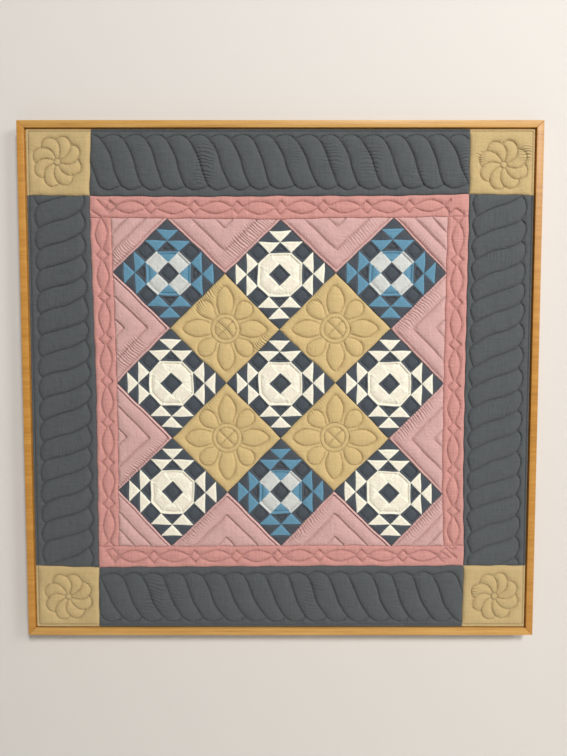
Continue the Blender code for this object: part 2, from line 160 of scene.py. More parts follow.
@dataclass
class HandPiecing:
    """Bends the drawing as the sewn seams have drifted: a thin plate through measured drifts.

    Rows are (across, up, drift right, drift up), places in half steps or in half widths of the
    strips' outer seam, drifts in millimetres. Seams also bend a little by themselves, which fades
    out towards the straight outer edge.
    """

    blocks: Sequence[tuple[float, float, float, float]] = (
        (-2, 3, -5.6, -3.2), (0, 3, 0.3, -5.6), (2, 3, 4.7, -1.2), (-3, 2, -3.8, 2.1),
        (-1, 2, -1.0, -2.0), (1, 2, -0.3, 0.6), (3, 2, -0.3, 0.3), (-2, 1, -0.6, 0.9),
        (0, 1, -3.2, -2.4), (2, 1, -0.3, -0.6), (-3, 0, 1.3, 1.2), (-1, 0, 1.5, 0.7),
        (1, 0, 0.3, 1.2), (3, 0, -2.6, -0.8), (-2, -1, 2.0, -0.3), (0, -1, 0.6, -0.3),
        (2, -1, -1.8, -2.0), (-3, -2, 2.0, 3.8), (-1, -2, 2.6, -1.2), (1, -2, -2.0, 1.8),
        (3, -2, -1.8, -5.4), (-2, -3, -2.3, -3.5), (0, -3, 0.9, -2.0), (2, -3, 6.5, -2.4),
    )
    strips: Sequence[tuple[float, float, float, float]] = (
        (-1, 1, -5.5, -1.5), (0, 1, 0.0, -1.3), (1, 1, 0.6, 2.8), (1, 0, -2.4, 0.0),
        (1, -1, 2.3, -0.2), (0, -1, 0.0, -2.3), (-1, -1, 1.6, -4.8), (-1, 0, 2.3, 0.0),
    )
    edge_pins: int = 8
    bend: float = 0.55 * MM
    fade: float = 40.0 * MM
    rounds: int = 8
    places: np.ndarray = field(init=False)
    weights: np.ndarray = field(init=False)

    def __post_init__(self) -> None:
        """Pin the straight outer edge and solve for the plate."""
        rows = [(a * LAYOUT.half_step, b * LAYOUT.half_step, c * MM, d * MM) for a, b, c, d in self.blocks]
        rows += [(a * LAYOUT.strip_out, b * LAYOUT.strip_out, c * MM, d * MM) for a, b, c, d in self.strips]
        for pin in range(self.edge_pins):
            along = LAYOUT.quilt * (2 * pin / self.edge_pins - 1)
            for side in Side:
                rows.append((*side.turn((along, LAYOUT.quilt)), 0.0, 0.0))
        table = np.array(rows)
        self.places = table[:, :2]
        count = len(table)
        system = np.zeros((count + 3, count + 3))
        system[:count, :count] = self.bending(self.places)
        system[:count, count] = 1.0
        system[:count, count + 1:] = self.places
        system[count:, :count] = system[:count, count:].T
        drifts = np.zeros((count + 3, 2))
        drifts[:count] = table[:, 2:]
        self.weights = np.linalg.solve(system, drifts)

    def bending(self, points: np.ndarray) -> np.ndarray:
        """Return the thin-plate kernel between points and the drifts' places."""
        square = ((points[:, None, :] - self.places[None, :, :]) ** 2).sum(axis=2)
        return square * np.log(square + 1e-12)

    def sew(self, points: Any) -> np.ndarray:
        """Return the drawn points where the sewn quilt has them.

        Args:
            points: places on the drawing, in metres, in any array whose last axis is 2 long.

        Returns:
            The sewn places, in an array of the same shape.
        """
        drawn = np.asarray(points, dtype=float)
        flat = drawn.reshape(-1, 2)
        count = len(self.places)
        drift = self.bending(flat) @ self.weights[:count]
        drift += self.weights[count] + flat @ self.weights[count + 1:]
        return (flat + drift + self.wander(flat)).reshape(drawn.shape)

    def wander(self, flat: np.ndarray) -> np.ndarray:
        """Return the small bends of hand-sewn seams, which fade out at the quilt's edge."""
        across, up = (flat / MM).T
        inside = np.clip((LAYOUT.quilt - np.abs(flat).max(axis=1)) / self.fade, 0.0, 1.0)
        right = np.sin(up / 9.7 + across / 23.0) + 0.7 * np.sin(up / 17.3 - across / 31.0 + 1.3)
        rise = np.sin(across / 10.3 - up / 27.0 + 0.4) + 0.7 * np.sin(across / 18.1 + up / 37.0 + 2.1)
        return np.stack([right, rise], axis=1) * (self.bend * inside)[:, None]

    def unsew(self, points: Any) -> np.ndarray:
        """Return the drawn points that end up at the given places of the sewn quilt.

        Args:
            points: places on the sewn quilt, in metres.

        Returns:
            Their places on the drawing.
        """
        sewn = np.asarray(points, dtype=float)
        drawn = sewn.copy()
        for _ in range(self.rounds):
            drawn = drawn - (self.sew(drawn) - sewn)
        return drawn


PIECING = HandPiecing()


def smooth(knots: Sequence[Point], steps: int = 8) -> np.ndarray:
    """Return a Catmull-Rom line through knots.

    Args:
        knots: the places that the line passes through.
        steps: how many points it has from one knot to the next.

    Returns:
        The line's points.
    """
    points = np.asarray(knots, dtype=float)
    points = np.vstack([2 * points[0] - points[1], points, 2 * points[-1] - points[-2]])
    share = np.arange(steps)[:, None] / steps
    line = []
    for before, start, end, after in zip(points, points[1:], points[2:], points[3:]):
        line.append(0.5 * (2 * start + (end - before) * share
                           + (2 * before - 5 * start + 4 * end - after) * share ** 2
                           + (3 * start - 3 * end + after - before) * share ** 3))
    return np.vstack(line + [points[-2][None, :]])


def around(middle: Point, radius: float, angle: float) -> Point:
    """Return the point at a radius and an angle about a middle."""
    return (middle[0] + radius * math.cos(angle), middle[1] + radius * math.sin(angle))


def inset(outline: Sequence[Point], distance: float) -> np.ndarray:
    """Return a convex anticlockwise outline moved inwards, closed by its first point.

    Args:
        outline: the corners.
        distance: how far each side moves, in metres.

    Returns:
        The moved corners, the first one repeated at the end.
    """
    corners = np.asarray(outline, dtype=float)
    into = corners - np.roll(corners, 1, axis=0)
    into /= np.linalg.norm(into, axis=1)[:, None]
    away = np.roll(into, -1, axis=0)
    left_in = np.stack([-into[:, 1], into[:, 0]], axis=1)
    left_out = np.stack([-away[:, 1], away[:, 0]], axis=1)
    reach = distance / (1 + (left_in * left_out).sum(axis=1))
    moved = corners + (left_in + left_out) * reach[:, None]
    return np.vstack([moved, moved[:1]])


def beside(points: np.ndarray, segments: Sequence[tuple[Any, Any]]) -> np.ndarray:
    """Return how far each point lies from the nearest of some straight seams.

    Args:
        points: places, in metres.
        segments: the two ends of each seam.

    Returns:
        Distances in metres, without the points' last axis.
    """
    nearest = np.full(points.shape[:-1], np.inf)
    for start, end in segments:
        start, way = np.asarray(start, dtype=float), np.asarray(end, dtype=float) - start
        share = np.clip(((points - start) @ way) / (way @ way), 0.0, 1.0)
        offset = points - start - share[..., None] * way
        nearest = np.minimum(nearest, np.linalg.norm(offset, axis=-1))
    return nearest


@dataclass
class StitchLine:
    """One line of stitches on the drawing."""

    points: np.ndarray
    hold: Hold = Hold.QUILTING

    def samples(self, spacing: float) -> np.ndarray:
        """Return points along the line.

        Args:
            spacing: how far apart they are, in metres.

        Returns:
            Rows of across, up, length of line so far, and hold.
        """
        points = np.asarray(self.points, dtype=float)
        length = np.linalg.norm(np.diff(points, axis=0), axis=1)
        run = np.concatenate([[0.0], np.cumsum(length)])
        count = max(2, int(run[-1] / spacing) + 1)
        places = np.linspace(0.0, run[-1], count)
        across = np.interp(places, run, points[:, 0])
        up = np.interp(places, run, points[:, 1])
        return np.stack([across, up, places, np.full(count, self.hold.value)], axis=1)


@dataclass(frozen=True)
class Pucker:
    """A patch of small folds, placed in millimetres on the sewn quilt.

    The folds run at an angle in degrees. Reach and spread are half lengths along and across them.
    """

    place: Point
    angle: float
    reach: float
    spread: float
    pitch: float
    rise: float

    @property
    def seed(self) -> float:
        """A phase of its own, so that no two patches bend alike."""
        return self.place[0] * 0.37 + self.place[1] * 0.73

    def axes(self, sewn: np.ndarray) -> tuple[np.ndarray, np.ndarray]:
        """Return places of the sewn quilt as millimetres along and across the folds."""
        offset = sewn / MM - np.array(self.place)
        turn = math.radians(self.angle)
        along = offset[..., 0] * math.cos(turn) + offset[..., 1] * math.sin(turn)
        aside = offset[..., 1] * math.cos(turn) - offset[..., 0] * math.sin(turn)
        return along, aside

    def strength(self, sewn: np.ndarray) -> np.ndarray:
        """Return how strongly the cloth is gathered at places of the sewn quilt."""
        along, aside = self.axes(sewn)
        return self.rise * np.exp(-(along / self.reach) ** 4 - (aside / self.spread) ** 4)

    def phase(self, sewn: np.ndarray) -> np.ndarray:
        """Return places of the sewn quilt counted in folds, whole numbers in the creases."""
        along, aside = self.axes(sewn)
        bend = 0.25 * np.sin(along / self.reach * 2.1 + self.seed)
        return aside / self.pitch + bend + 0.18 * np.sin(aside / self.pitch * 1.3 + self.seed)

    def height(self, sewn: np.ndarray) -> np.ndarray:
        """Return how high the folds stand at places of the sewn quilt.

        Args:
            sewn: the places, in metres.

        Returns:
            Heights in metres, in an array without the last axis.
        """
        along, aside = self.axes(sewn)
        wave = np.abs(np.sin(np.pi * self.phase(sewn)))
        lively = 0.65 + 0.35 * np.sin(aside / self.pitch * 0.9 + along / self.reach + 2 * self.seed)
        return self.strength(sewn) * MM * (wave - 0.6) * lively


@dataclass
class ClothGrid:
    """A flat grid of cloth: a rectangle, or the half of a square beside its first corner."""

    corner: np.ndarray
    along: np.ndarray
    aside: np.ndarray
    triangular: bool = False
    cells: tuple[int, int] = field(init=False)

    def __post_init__(self) -> None:
        """Leave half a seam's gap all round and count the cells."""
        self.corner = np.asarray(self.corner, dtype=float)
        self.along = np.asarray(self.along, dtype=float) - self.corner
        self.aside = np.asarray(self.aside, dtype=float) - self.corner
        length = np.linalg.norm(self.along), np.linalg.norm(self.aside)
        ways = self.along / length[0], self.aside / length[1]
        gap = LAYOUT.seam_gap / 2
        shorter = gap * (2 + math.sqrt(2)) if self.triangular else 2 * gap
        self.corner = self.corner + gap * (ways[0] + ways[1])
        self.along = ways[0] * (length[0] - shorter)
        self.aside = ways[1] * (length[1] - shorter)
        self.cells = tuple(2 * round(side / LAYOUT.cell / 2) for side in length)

    @property
    def size(self) -> float:
        """Side of one cell."""
        return float(np.linalg.norm(self.along)) / self.cells[0]

    @property
    def is_mirrored(self) -> bool:
        """Whether the grid's second way lies clockwise of its first."""
        return self.along[0] * self.aside[1] - self.along[1] * self.aside[0] < 0

    def places(self) -> np.ndarray:
        """Return the grid's points, indexed along, aside and by axis."""
        along = np.arange(self.cells[0] + 1)[:, None, None] / self.cells[0]
        aside = np.arange(self.cells[1] + 1)[None, :, None] / self.cells[1]
        return self.corner + along * self.along + aside * self.aside

    def ranks(self) -> tuple[np.ndarray, np.ndarray]:
        """Return each point's index along and aside."""
        return np.meshgrid(np.arange(self.cells[0] + 1), np.arange(self.cells[1] + 1), indexing="ij")

    def kept(self) -> np.ndarray:
        """Return which points belong to the cloth."""
        along, aside = self.ranks()
        return along + aside <= self.cells[0] if self.triangular else along >= 0

    def rim(self) -> np.ndarray:
        """Return which points lie on the cloth's outline."""
        along, aside = self.ranks()
        edge = (along == 0) | (aside == 0)
        if self.triangular:
            return edge | (along + aside == self.cells[0])
        return edge | (along == self.cells[0]) | (aside == self.cells[1])

    def index_of(self, points: np.ndarray) -> np.ndarray:
        """Return points in cells from the first corner, along and aside."""
        offset = points - self.corner
        along = offset @ self.along / (self.along @ self.along) * self.cells[0]
        aside = offset @ self.aside / (self.aside @ self.aside) * self.cells[1]
        return np.stack([along, aside], axis=1)


@dataclass
class Needlework:
    """Where the stitches lie on a grid of cloth, and which of its points they pass through.

    Stitches are looked for within a reach in cells, and other points are taken to lie far away. A
    jump is a difference in run, in cells, that no one line makes over a cell. A cell is crushed
    below a share of its own area, and rounds limits how often such cells are looked for.
    """

    grid: ClothGrid
    lines: Sequence[StitchLine]
    reach: int = 4
    far: float = 10.0 * MM
    jump: float = 3.0
    crushed: float = 0.28
    rounds: int = 8
    places: np.ndarray = field(init=False)
    away: np.ndarray = field(init=False)
    run: np.ndarray = field(init=False)
    hold: np.ndarray = field(init=False)
    is_stitched: np.ndarray = field(init=False)

    def __post_init__(self) -> None:
        """Start with no stitch in reach, then lay the lines on the grid."""
        self.places = self.grid.places()
        shape = self.places.shape[:2]
        self.away = np.full(shape, self.far)
        self.run, self.hold = np.zeros(shape), np.zeros(shape)
        self.is_stitched = np.zeros(shape, dtype=bool)
        rows = [line.samples(self.grid.size / 4) for line in self.lines]
        if rows:
            self.lay(np.vstack(rows))

    def in_reach(self, centre: np.ndarray) -> tuple[np.ndarray, np.ndarray]:
        """Pair every stitch with each point in its reach.

        Args:
            centre: the ranks, along and aside, that each stitch lies closest to.

        Returns:
            The points' flat ranks and the stitches' rows.
        """
        flats, rows = [], []
        for along in range(-self.reach, self.reach + 1):
            for aside in range(-self.reach, self.reach + 1):
                rank = centre + (along, aside)
                valid = (rank >= 0).all(axis=1) & (rank <= np.array(self.grid.cells)).all(axis=1)
                flats.append(np.ravel_multi_index(tuple(rank[valid].T), self.away.shape))
                rows.append(np.flatnonzero(valid))
        return np.concatenate(flats), np.concatenate(rows)

    def lay(self, rows: np.ndarray) -> None:
        """Find every point's nearest stitch, then pull the points beside a line onto it."""
        centre = np.rint(self.grid.index_of(rows[:, :2])).astype(int)
        flat, source = self.in_reach(centre)
        distance = np.linalg.norm(self.places.reshape(-1, 2)[flat] - rows[source, :2], axis=1)
        order = np.lexsort((distance, flat))
        flat, first = np.unique(flat[order], return_index=True)
        source = source[order][first]
        self.away.ravel()[flat] = distance[order][first]
        self.run.ravel()[flat] = rows[source, 2]
        self.hold.ravel()[flat] = rows[source, 3]
        closest = tuple(np.clip(centre[source], 0, self.grid.cells).T)
        own = np.ravel_multi_index(closest, self.away.shape) == flat
        self.is_stitched.ravel()[flat[own]] = True
        self.is_stitched &= self.grid.kept() & ~self.grid.rim()
        nearest = self.places.copy()
        nearest.reshape(-1, 2)[flat] = rows[source, :2]
        for _ in range(self.rounds):
            if not self.let_go(nearest):
                break
        self.places[self.is_stitched] = nearest[self.is_stitched]
        self.away[self.is_stitched] = 0.0

    def steadiness(self) -> np.ndarray:
        """Return 1 where a point and its neighbours follow one stretch of stitches, and else 0."""
        steady = np.ones(self.run.shape)
        runs = np.stack([self.run[part] for part in CORNERS_OF_CELLS])
        jumps = np.ptp(runs, axis=0) > self.jump * self.grid.size
        for part in CORNERS_OF_CELLS:
            steady[part][jumps] = 0.0
        return steady

    def let_go(self, nearest: np.ndarray) -> bool:
        """Let go of the point of each crushed cell that is pulled furthest.

        Args:
            nearest: where each point would be pulled to.

        Returns:
            Whether any point was let go.
        """
        pulled = np.where(self.is_stitched[..., None], nearest, self.places)
        shift = np.linalg.norm(pulled - self.places, axis=2)
        smallest = np.full((pulled.shape[0] - 1, pulled.shape[1] - 1), np.inf)
        for corner in range(4):
            here, after, before = (pulled[CORNERS_OF_CELLS[(corner + step) % 4]] for step in (0, 1, 3))
            out, back = after - here, before - here
            area = out[..., 0] * back[..., 1] - out[..., 1] * back[..., 0]
            smallest = np.minimum(smallest, -area if self.grid.is_mirrored else area)
        crushed = smallest < self.crushed * self.grid.size ** 2
        shifts = np.stack([shift[part] for part in CORNERS_OF_CELLS])
        crushed &= shifts.max(axis=0) > 0
        furthest = shifts.argmax(axis=0)
        for corner, step in enumerate(CELL_CORNERS):
            ranks = np.argwhere(crushed & (furthest == corner)) + step
            self.is_stitched[tuple(ranks.T)] = False
        return bool(crushed.any())


@dataclass
class Puff:
    """How filling swells between stitches: a membrane that springs back over two lengths."""

    stitched: float = 2.8 * MM
    crown: float = 9.0 * MM
    crisp_reach: float = 3.9 * MM
    soft_reach: float = 15.0 * MM
    crisp_share: float = 0.58
    sweeps: int = 240

    def relax(self, fixed: np.ndarray, level: np.ndarray, target: np.ndarray, pull: float) -> np.ndarray:
        """Return the membrane's level everywhere.

        Args:
            fixed: which points are held at their own level.
            level: the levels that they are held at.
            target: the level that the filling pushes towards.
            pull: how strongly it pushes.

        Returns:
            The settled levels.
        """
        now = np.where(fixed, level, 0.5 * target)
        total = np.zeros_like(now)
        for _ in range(self.sweeps):
            total[1:-1, 1:-1] = now[2:, 1:-1] + now[:-2, 1:-1] + now[1:-1, 2:] + now[1:-1, :-2]
            now = np.where(fixed, level, (total + pull * target) / (4 + pull))
        return now

    def levels(self, work: Needlework, rim: float, boost: np.ndarray) -> tuple[np.ndarray, np.ndarray]:
        """Return the cloth's levels over the crisp and the soft length.

        Args:
            work: the stitches.
            rim: the level that the outline is held at.
            boost: how much fuller than elsewhere each point is.

        Returns:
            The crisp and the soft levels, from 0 at a stitch to about 1.
        """
        outline = work.grid.rim() | ~work.grid.kept()
        fixed = outline | (work.away < 0.75 * work.grid.size)
        made = []
        for reach in (self.crisp_reach, self.soft_reach):
            risen = work.hold + (1 - work.hold) * (1 - np.exp(-work.away / reach))
            level = np.where(outline, rim, risen)
            made.append(self.relax(fixed, level, boost, (work.grid.size / reach) ** 2))
        return made[0], made[1]


@dataclass
class Panel:
    """One sewn panel of cloth over its filling, closed at the back."""

    name: str
    slot: str
    grid: ClothGrid
    lines: Sequence[StitchLine]
    cottons: Sequence[bpy.types.Material]
    backing: bpy.types.Material
    colour_of: Optional[Callable[[np.ndarray], np.ndarray]] = None
    boost_of: Optional[Callable[[np.ndarray], np.ndarray]] = None
    folds: Sequence[tuple[Any, Any]] = ()
    fold_width: float = 6.0 * MM
    fold_lift: float = 1.0
    puff: Puff = field(default_factory=Puff)
    rim: float = Hold.PANEL_SEAM.value
    fill: float = 0.4
    dimple: float = 1.3 * MM
    dimple_below: float = 0.75

    def thickness(self, work: Needlework, sewn: np.ndarray) -> np.ndarray:
        """Return how thick the panel is at each point.

        Args:
            work: the stitches.
            sewn: where the points lie on the sewn quilt.

        Returns:
            Thicknesses in metres.
        """
        boost = self.boost_of(work.grid.places()) if self.boost_of else np.ones(work.away.shape)
        boost = boost + (self.fold_lift - 1) * self.folded(work)
        crisp, soft = self.puff.levels(work, self.rim, boost)
        level = self.puff.crisp_share * crisp + (1 - self.puff.crisp_share) * soft
        thick = self.puff.stitched + self.puff.crown * level
        free = np.where(work.grid.rim(), 0.0, 0.25 + 0.75 * np.clip(crisp, 0.0, 1.0))
        for pucker in Gathers.by_panel.get(self.name, ()):
            thick += pucker.height(sewn) * free
        return thick + self.swell(sewn) * free

    @staticmethod
    def swell(sewn: np.ndarray) -> np.ndarray:
        """Return the small unevenness of the filling, in metres."""
        across, up = sewn[..., 0] / MM, sewn[..., 1] / MM
        broad = np.sin(across / 31 + up / 47) * np.sin(up / 37 - across / 71)
        small = np.sin(across / 11.3 + up / 17.1 + 1.0) * np.sin(up / 12.7 - across / 19.0)
        return (0.18 * broad + 0.10 * small) * MM

    def folded(self, work: Needlework) -> np.ndarray:
        """Return 1 where a seam's turned edge lies under the cloth and 0 elsewhere."""
        if not self.folds:
            return np.zeros(work.away.shape)
        return np.clip((self.fold_width + 0.5 * MM - beside(work.places, self.folds)) / MM, 0.0, 1.0)

    def gathered(self, sewn: np.ndarray) -> tuple[np.ndarray, np.ndarray]:
        """Return how strongly the panel is gathered at each place, and the place in folds."""
        strength = np.zeros(sewn.shape[:-1])
        phase = np.zeros(sewn.shape[:-1])
        for pucker in Gathers.by_panel.get(self.name, ()):
            here = pucker.strength(sewn)
            phase = np.where(here > strength, pucker.phase(sewn), phase)
            strength = np.maximum(here, strength)
        return strength, phase

    def triangles(self, work: Needlework, step: int = 1) -> np.ndarray:
        """Return the grid's triangles, with their diagonals laid along the stitches.

        Args:
            work: the stitches.
            step: 1 for the face of the cloth, 2 for its coarser back.

        Returns:
            Rows of three ranks into the grid's points.
        """
        count = self.grid.cells[0] // step, self.grid.cells[1] // step
        shape = work.away.shape
        rank = np.arange(shape[0] * shape[1]).reshape(shape)[::step, ::step]
        held = (work.is_stitched | self.grid.rim())[::step, ::step]
        if step == 2:
            held = np.zeros_like(held)
        low, right = rank[:-1, :-1], rank[1:, :-1]
        top, left = rank[1:, 1:], rank[:-1, 1:]
        rising = held[:-1, :-1] & held[1:, 1:]
        falling = held[1:, :-1] & held[:-1, 1:]
        cut_rising = rising & ~falling
        along, aside = np.meshgrid(np.arange(count[0]), np.arange(count[1]), indexing="ij")
        if self.grid.triangular:
            inner = along + aside < count[0] - 1
            outer = along + aside == count[0] - 1
            cut_rising &= inner
        else:
            inner = along >= 0
            outer = along < 0
            cut_rising |= ((along + aside) % 2 == 0) & (rising == falling)
        first, second = inner & cut_rising, inner & ~cut_rising
        rows = [
            np.stack([low[first], right[first], top[first]], axis=1),
            np.stack([low[first], top[first], left[first]], axis=1),
            np.stack([low[second], right[second], left[second]], axis=1),
            np.stack([right[second], top[second], left[second]], axis=1),
            np.stack([low[outer], right[outer], left[outer]], axis=1),
        ]
        return np.vstack(rows)

    def outline(self) -> np.ndarray:
        """Return the ranks of the outline's points in order, the grid's own way round."""
        shape = self.grid.cells[0] + 1, self.grid.cells[1] + 1
        rank = np.arange(shape[0] * shape[1]).reshape(shape)
        if self.grid.triangular:
            count = self.grid.cells[0]
            slope = [rank[count - step, step] for step in range(count)]
            return np.concatenate([rank[:-1, 0], slope, rank[0, :0:-1]])
        return np.concatenate([rank[:-1, 0], rank[-1, :-1], rank[:0:-1, -1], rank[0, :0:-1]])

    def sides(self, total: int) -> np.ndarray:
        """Return the triangles between the face's outline and that of its back, total ranks on."""
        ring = self.outline()
        even, odd = ring[::2], ring[1::2]
        later = np.roll(even, -1)
        return np.vstack([
            np.stack([even, even + total, odd], axis=1),
            np.stack([odd, even + total, later + total], axis=1),
            np.stack([odd, later + total, later], axis=1),
        ])

    def points(self, sewn: np.ndarray, thick: np.ndarray) -> np.ndarray:
        """Return the face's points and then its back's, which is dimpled under the stitches.

        Args:
            sewn: where the points lie on the sewn quilt.
            thick: how thick the panel is there.

        Returns:
            The points in the frame's own axes.
        """
        face = np.stack([sewn[..., 0], LAYOUT.back - thick, sewn[..., 1] + LAYOUT.centre_up], axis=-1)
        puff = self.puff
        dip = np.clip((puff.stitched + puff.crown * self.dimple_below - thick) / puff.crown, 0.0, 1.0)
        back = face.copy()
        back[..., 1] = LAYOUT.back - self.dimple * np.where(self.grid.rim(), 0.0, dip)
        return np.concatenate([face.reshape(-1, 3), back.reshape(-1, 3)])

    def carried(self, work: Needlework, sewn: np.ndarray) -> dict[str, np.ndarray]:
        """Return the values that the cottons' materials read at each point, by attribute."""
        gathered, fold_phase = self.gathered(sewn)
        return {
            "stitch_away": work.away,
            "stitch_run": work.run,
            "stitch_hold": work.hold,
            "stitch_steady": work.steadiness(),
            "turned_edge": self.folded(work),
            "gathered": gathered,
            "fold_phase": fold_phase,
        }

    def build(self) -> bpy.types.Object:
        """Returns:
            The panel's object.
        """
        work = Needlework(self.grid, self.lines)
        sewn = PIECING.sew(work.places)
        thick = self.thickness(work, sewn)
        face = self.triangles(work)
        rear = self.triangles(work, 2)[:, ::-1] + thick.size
        corners = np.vstack([face, rear, self.sides(thick.size)])
        if self.grid.is_mirrored:
            corners = corners[:, ::-1]
        looks = np.zeros(len(corners), dtype=np.int32)
        looks[len(face):len(face) + len(rear)] = len(self.cottons)
        if self.colour_of:
            looks[:len(face)] = self.colour_of(work.places.reshape(-1, 2)[face].mean(axis=1))
        used, inverse = np.unique(corners, return_inverse=True)
        corners = inverse.reshape(corners.shape)
        mesh = bpy.data.meshes.new(self.name + "_cloth")
        mesh.from_pydata(self.points(sewn, thick)[used].tolist(), [], corners.tolist())
        mesh.polygons.foreach_set("use_smooth", np.ones(len(corners), dtype=bool))
        for cotton in (*self.cottons, self.backing):
            mesh.materials.append(cotton)
        mesh.polygons.foreach_set("material_index", looks)
        for label, values in self.carried(work, sewn).items():
            layer = mesh.attributes.new(label, "FLOAT", "POINT")
            layer.data.foreach_set("value", np.tile(values.ravel(), 2)[used].astype(np.float32))
        mesh.validate()
        mesh.update()
        piece = bpy.data.objects.new(self.name + "_cloth", mesh)
        bpy.context.scene.collection.objects.link(piece)
        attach(piece, "root")
        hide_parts(self.name)
        LOG.info("%s: %d triangles, %.1f to %.1f mm thick", self.name, len(corners),
                 thick[self.grid.kept()].min() / MM, thick[self.grid.kept()].max() / MM)
        return piece


def operator(operation: str, is_swapped: bool = False) -> Callable[["Term", Any], "Term"]:
    """Return the method of a Python operator that makes a Math node.

    Args:
        operation: the node's operation.
        is_swapped: whether the other value comes first.

    Returns:
        The method.
    """

    def method(self: "Term", other: Any) -> "Term":
        """Return the node's result."""
        first, second = (other, self) if is_swapped else (self, other)
        return self.bench.term("ShaderNodeMath", {"operation": operation}, {0: first, 1: second})

    return method


class Term:
    """A shader value that Python's operators work on."""

    __add__ = operator("ADD")
    __radd__ = operator("ADD", True)
    __sub__ = operator("SUBTRACT")
    __rsub__ = operator("SUBTRACT", True)
    __mul__ = operator("MULTIPLY")
    __rmul__ = operator("MULTIPLY", True)
    __pow__ = operator("POWER")
    __lt__ = operator("LESS_THAN")

    def __init__(self, bench: "Bench", socket: bpy.types.NodeSocket) -> None:
        """Keep the value's socket and the bench that its nodes are made on."""
        self.bench = bench
        self.socket = socket

    def fraction(self) -> "Term":
        """Return the part after the decimal point."""
        return self.bench.term("ShaderNodeMath", {"operation": "FRACT"}, {0: self})

    def clamped(self) -> "Term":
        """Return the value kept between 0 and 1."""
        return self.bench.term("ShaderNodeClamp", {}, {"Value": self}, "Result")


class Bench:
    """A material and the one method that makes its nodes."""

    def __init__(self, name: str) -> None:
        """Start a material with a Principled shader."""
        self.material = bpy.data.materials.new(name)
        self.material.use_nodes = True
        self.tree = self.material.node_tree
        self.shader = self.tree.nodes["Principled BSDF"]

    def node(self, kind: str, settings: dict[str, Any], inputs: dict[Any, Any]) -> bpy.types.Node:
        """Make one node.

        Args:
            kind: the node's type.
            settings: its own settings, with a ramp's stops under "stops", set first.
            inputs: what each socket is set to or linked from.

        Returns:
            The node.
        """
        made = self.tree.nodes.new(kind)
        for label, value in settings.items():
            if label == "stops":
                self.stops(made, value)
            else:
                setattr(made, label, value)
        for label, value in inputs.items():
            self.feed(made.inputs[label], value)
        return made

    def stops(self, ramp: bpy.types.Node, stops: Sequence[tuple[float, Colour]]) -> None:
        """Set a ramp's stops, each a place and a colour."""
        elements = ramp.color_ramp.elements
        while len(elements) < len(stops):
            elements.new(0.5)
        for element, (place, colour) in zip(elements, stops):
            element.position = place
            element.color = (*colour, 1.0)

    def feed(self, socket: bpy.types.NodeSocket, value: Any) -> None:
        """Link a value to a socket, or set the socket to it."""
        if isinstance(value, Term):
            self.tree.links.new(value.socket, socket)
        elif isinstance(value, bpy.types.NodeSocket):
            self.tree.links.new(value, socket)
        elif isinstance(value, tuple) and len(value) == 3 and socket.type == "RGBA":
            socket.default_value = (*value, 1.0)
        else:
            socket.default_value = value

    def term(self, kind: str, settings: dict[str, Any], inputs: dict[Any, Any], output: Any = 0) -> Term:
        """Make one node and return one of its outputs as a value."""
        return Term(self, self.node(kind, settings, inputs).outputs[output])

    def mixed(self, factor: Any, first: Any, second: Any) -> bpy.types.NodeSocket:
        """Return a colour between two colours."""
        made = self.node("ShaderNodeMix", {"data_type": "RGBA"}, {"Factor": factor})
        self.feed(made.inputs[6], first)
        self.feed(made.inputs[7], second)
        return made.outputs[2]

    def noise(self, place: Any, scale: float, detail: float = 2.0, roughness: float = 0.5) -> Term:
        """Return a noise value at a place."""
        inputs = {"Vector": place, "Scale": scale, "Detail": detail, "Roughness": roughness}
        return self.term("ShaderNodeTexNoise", {}, inputs, "Fac")

    def place(self, turn: float = 0.0, stretch: Colour = (1.0, 1.0, 1.0)) -> bpy.types.NodeSocket:
        """Return the object's own coordinates, turned about Y and stretched.

        Args:
            turn: the turn in radians.
            stretch: the scale along each axis, after the turn.

        Returns:
            The coordinates' socket.
        """
        own = self.node("ShaderNodeTexCoord", {}, {})
        inputs = {"Vector": own.outputs["Object"], "Rotation": (0.0, turn, 0.0), "Scale": stretch}
        return self.node("ShaderNodeMapping", {}, inputs).outputs["Vector"]

    def attribute(self, label: str) -> Term:
        """Return a value that the mesh carries."""
        return self.term("ShaderNodeAttribute", {"attribute_name": label}, {}, "Fac")

    def finish(self, colour: Any, roughness: Any, height: Any, depth: float,
               **constants: Any) -> bpy.types.Material:
        """Connect the shader and return the material.

        Args:
            colour: the base colour.
            roughness: the roughness.
            height: the bump's height, in units of depth.
            depth: the bump's distance, in metres.
            **constants: the shader's other sockets, by name with _ for a space.

        Returns:
            The finished material.
        """
        self.feed(self.shader.inputs["Base Color"], colour)
        self.feed(self.shader.inputs["Roughness"], roughness)
        bump = self.node("ShaderNodeBump", {}, {"Height": height, "Strength": 1.0, "Distance": depth})
        self.feed(self.shader.inputs["Normal"], bump.outputs["Normal"])
        for label, value in constants.items():
            self.feed(self.shader.inputs[label.replace("_", " ")], value)
        return self.material


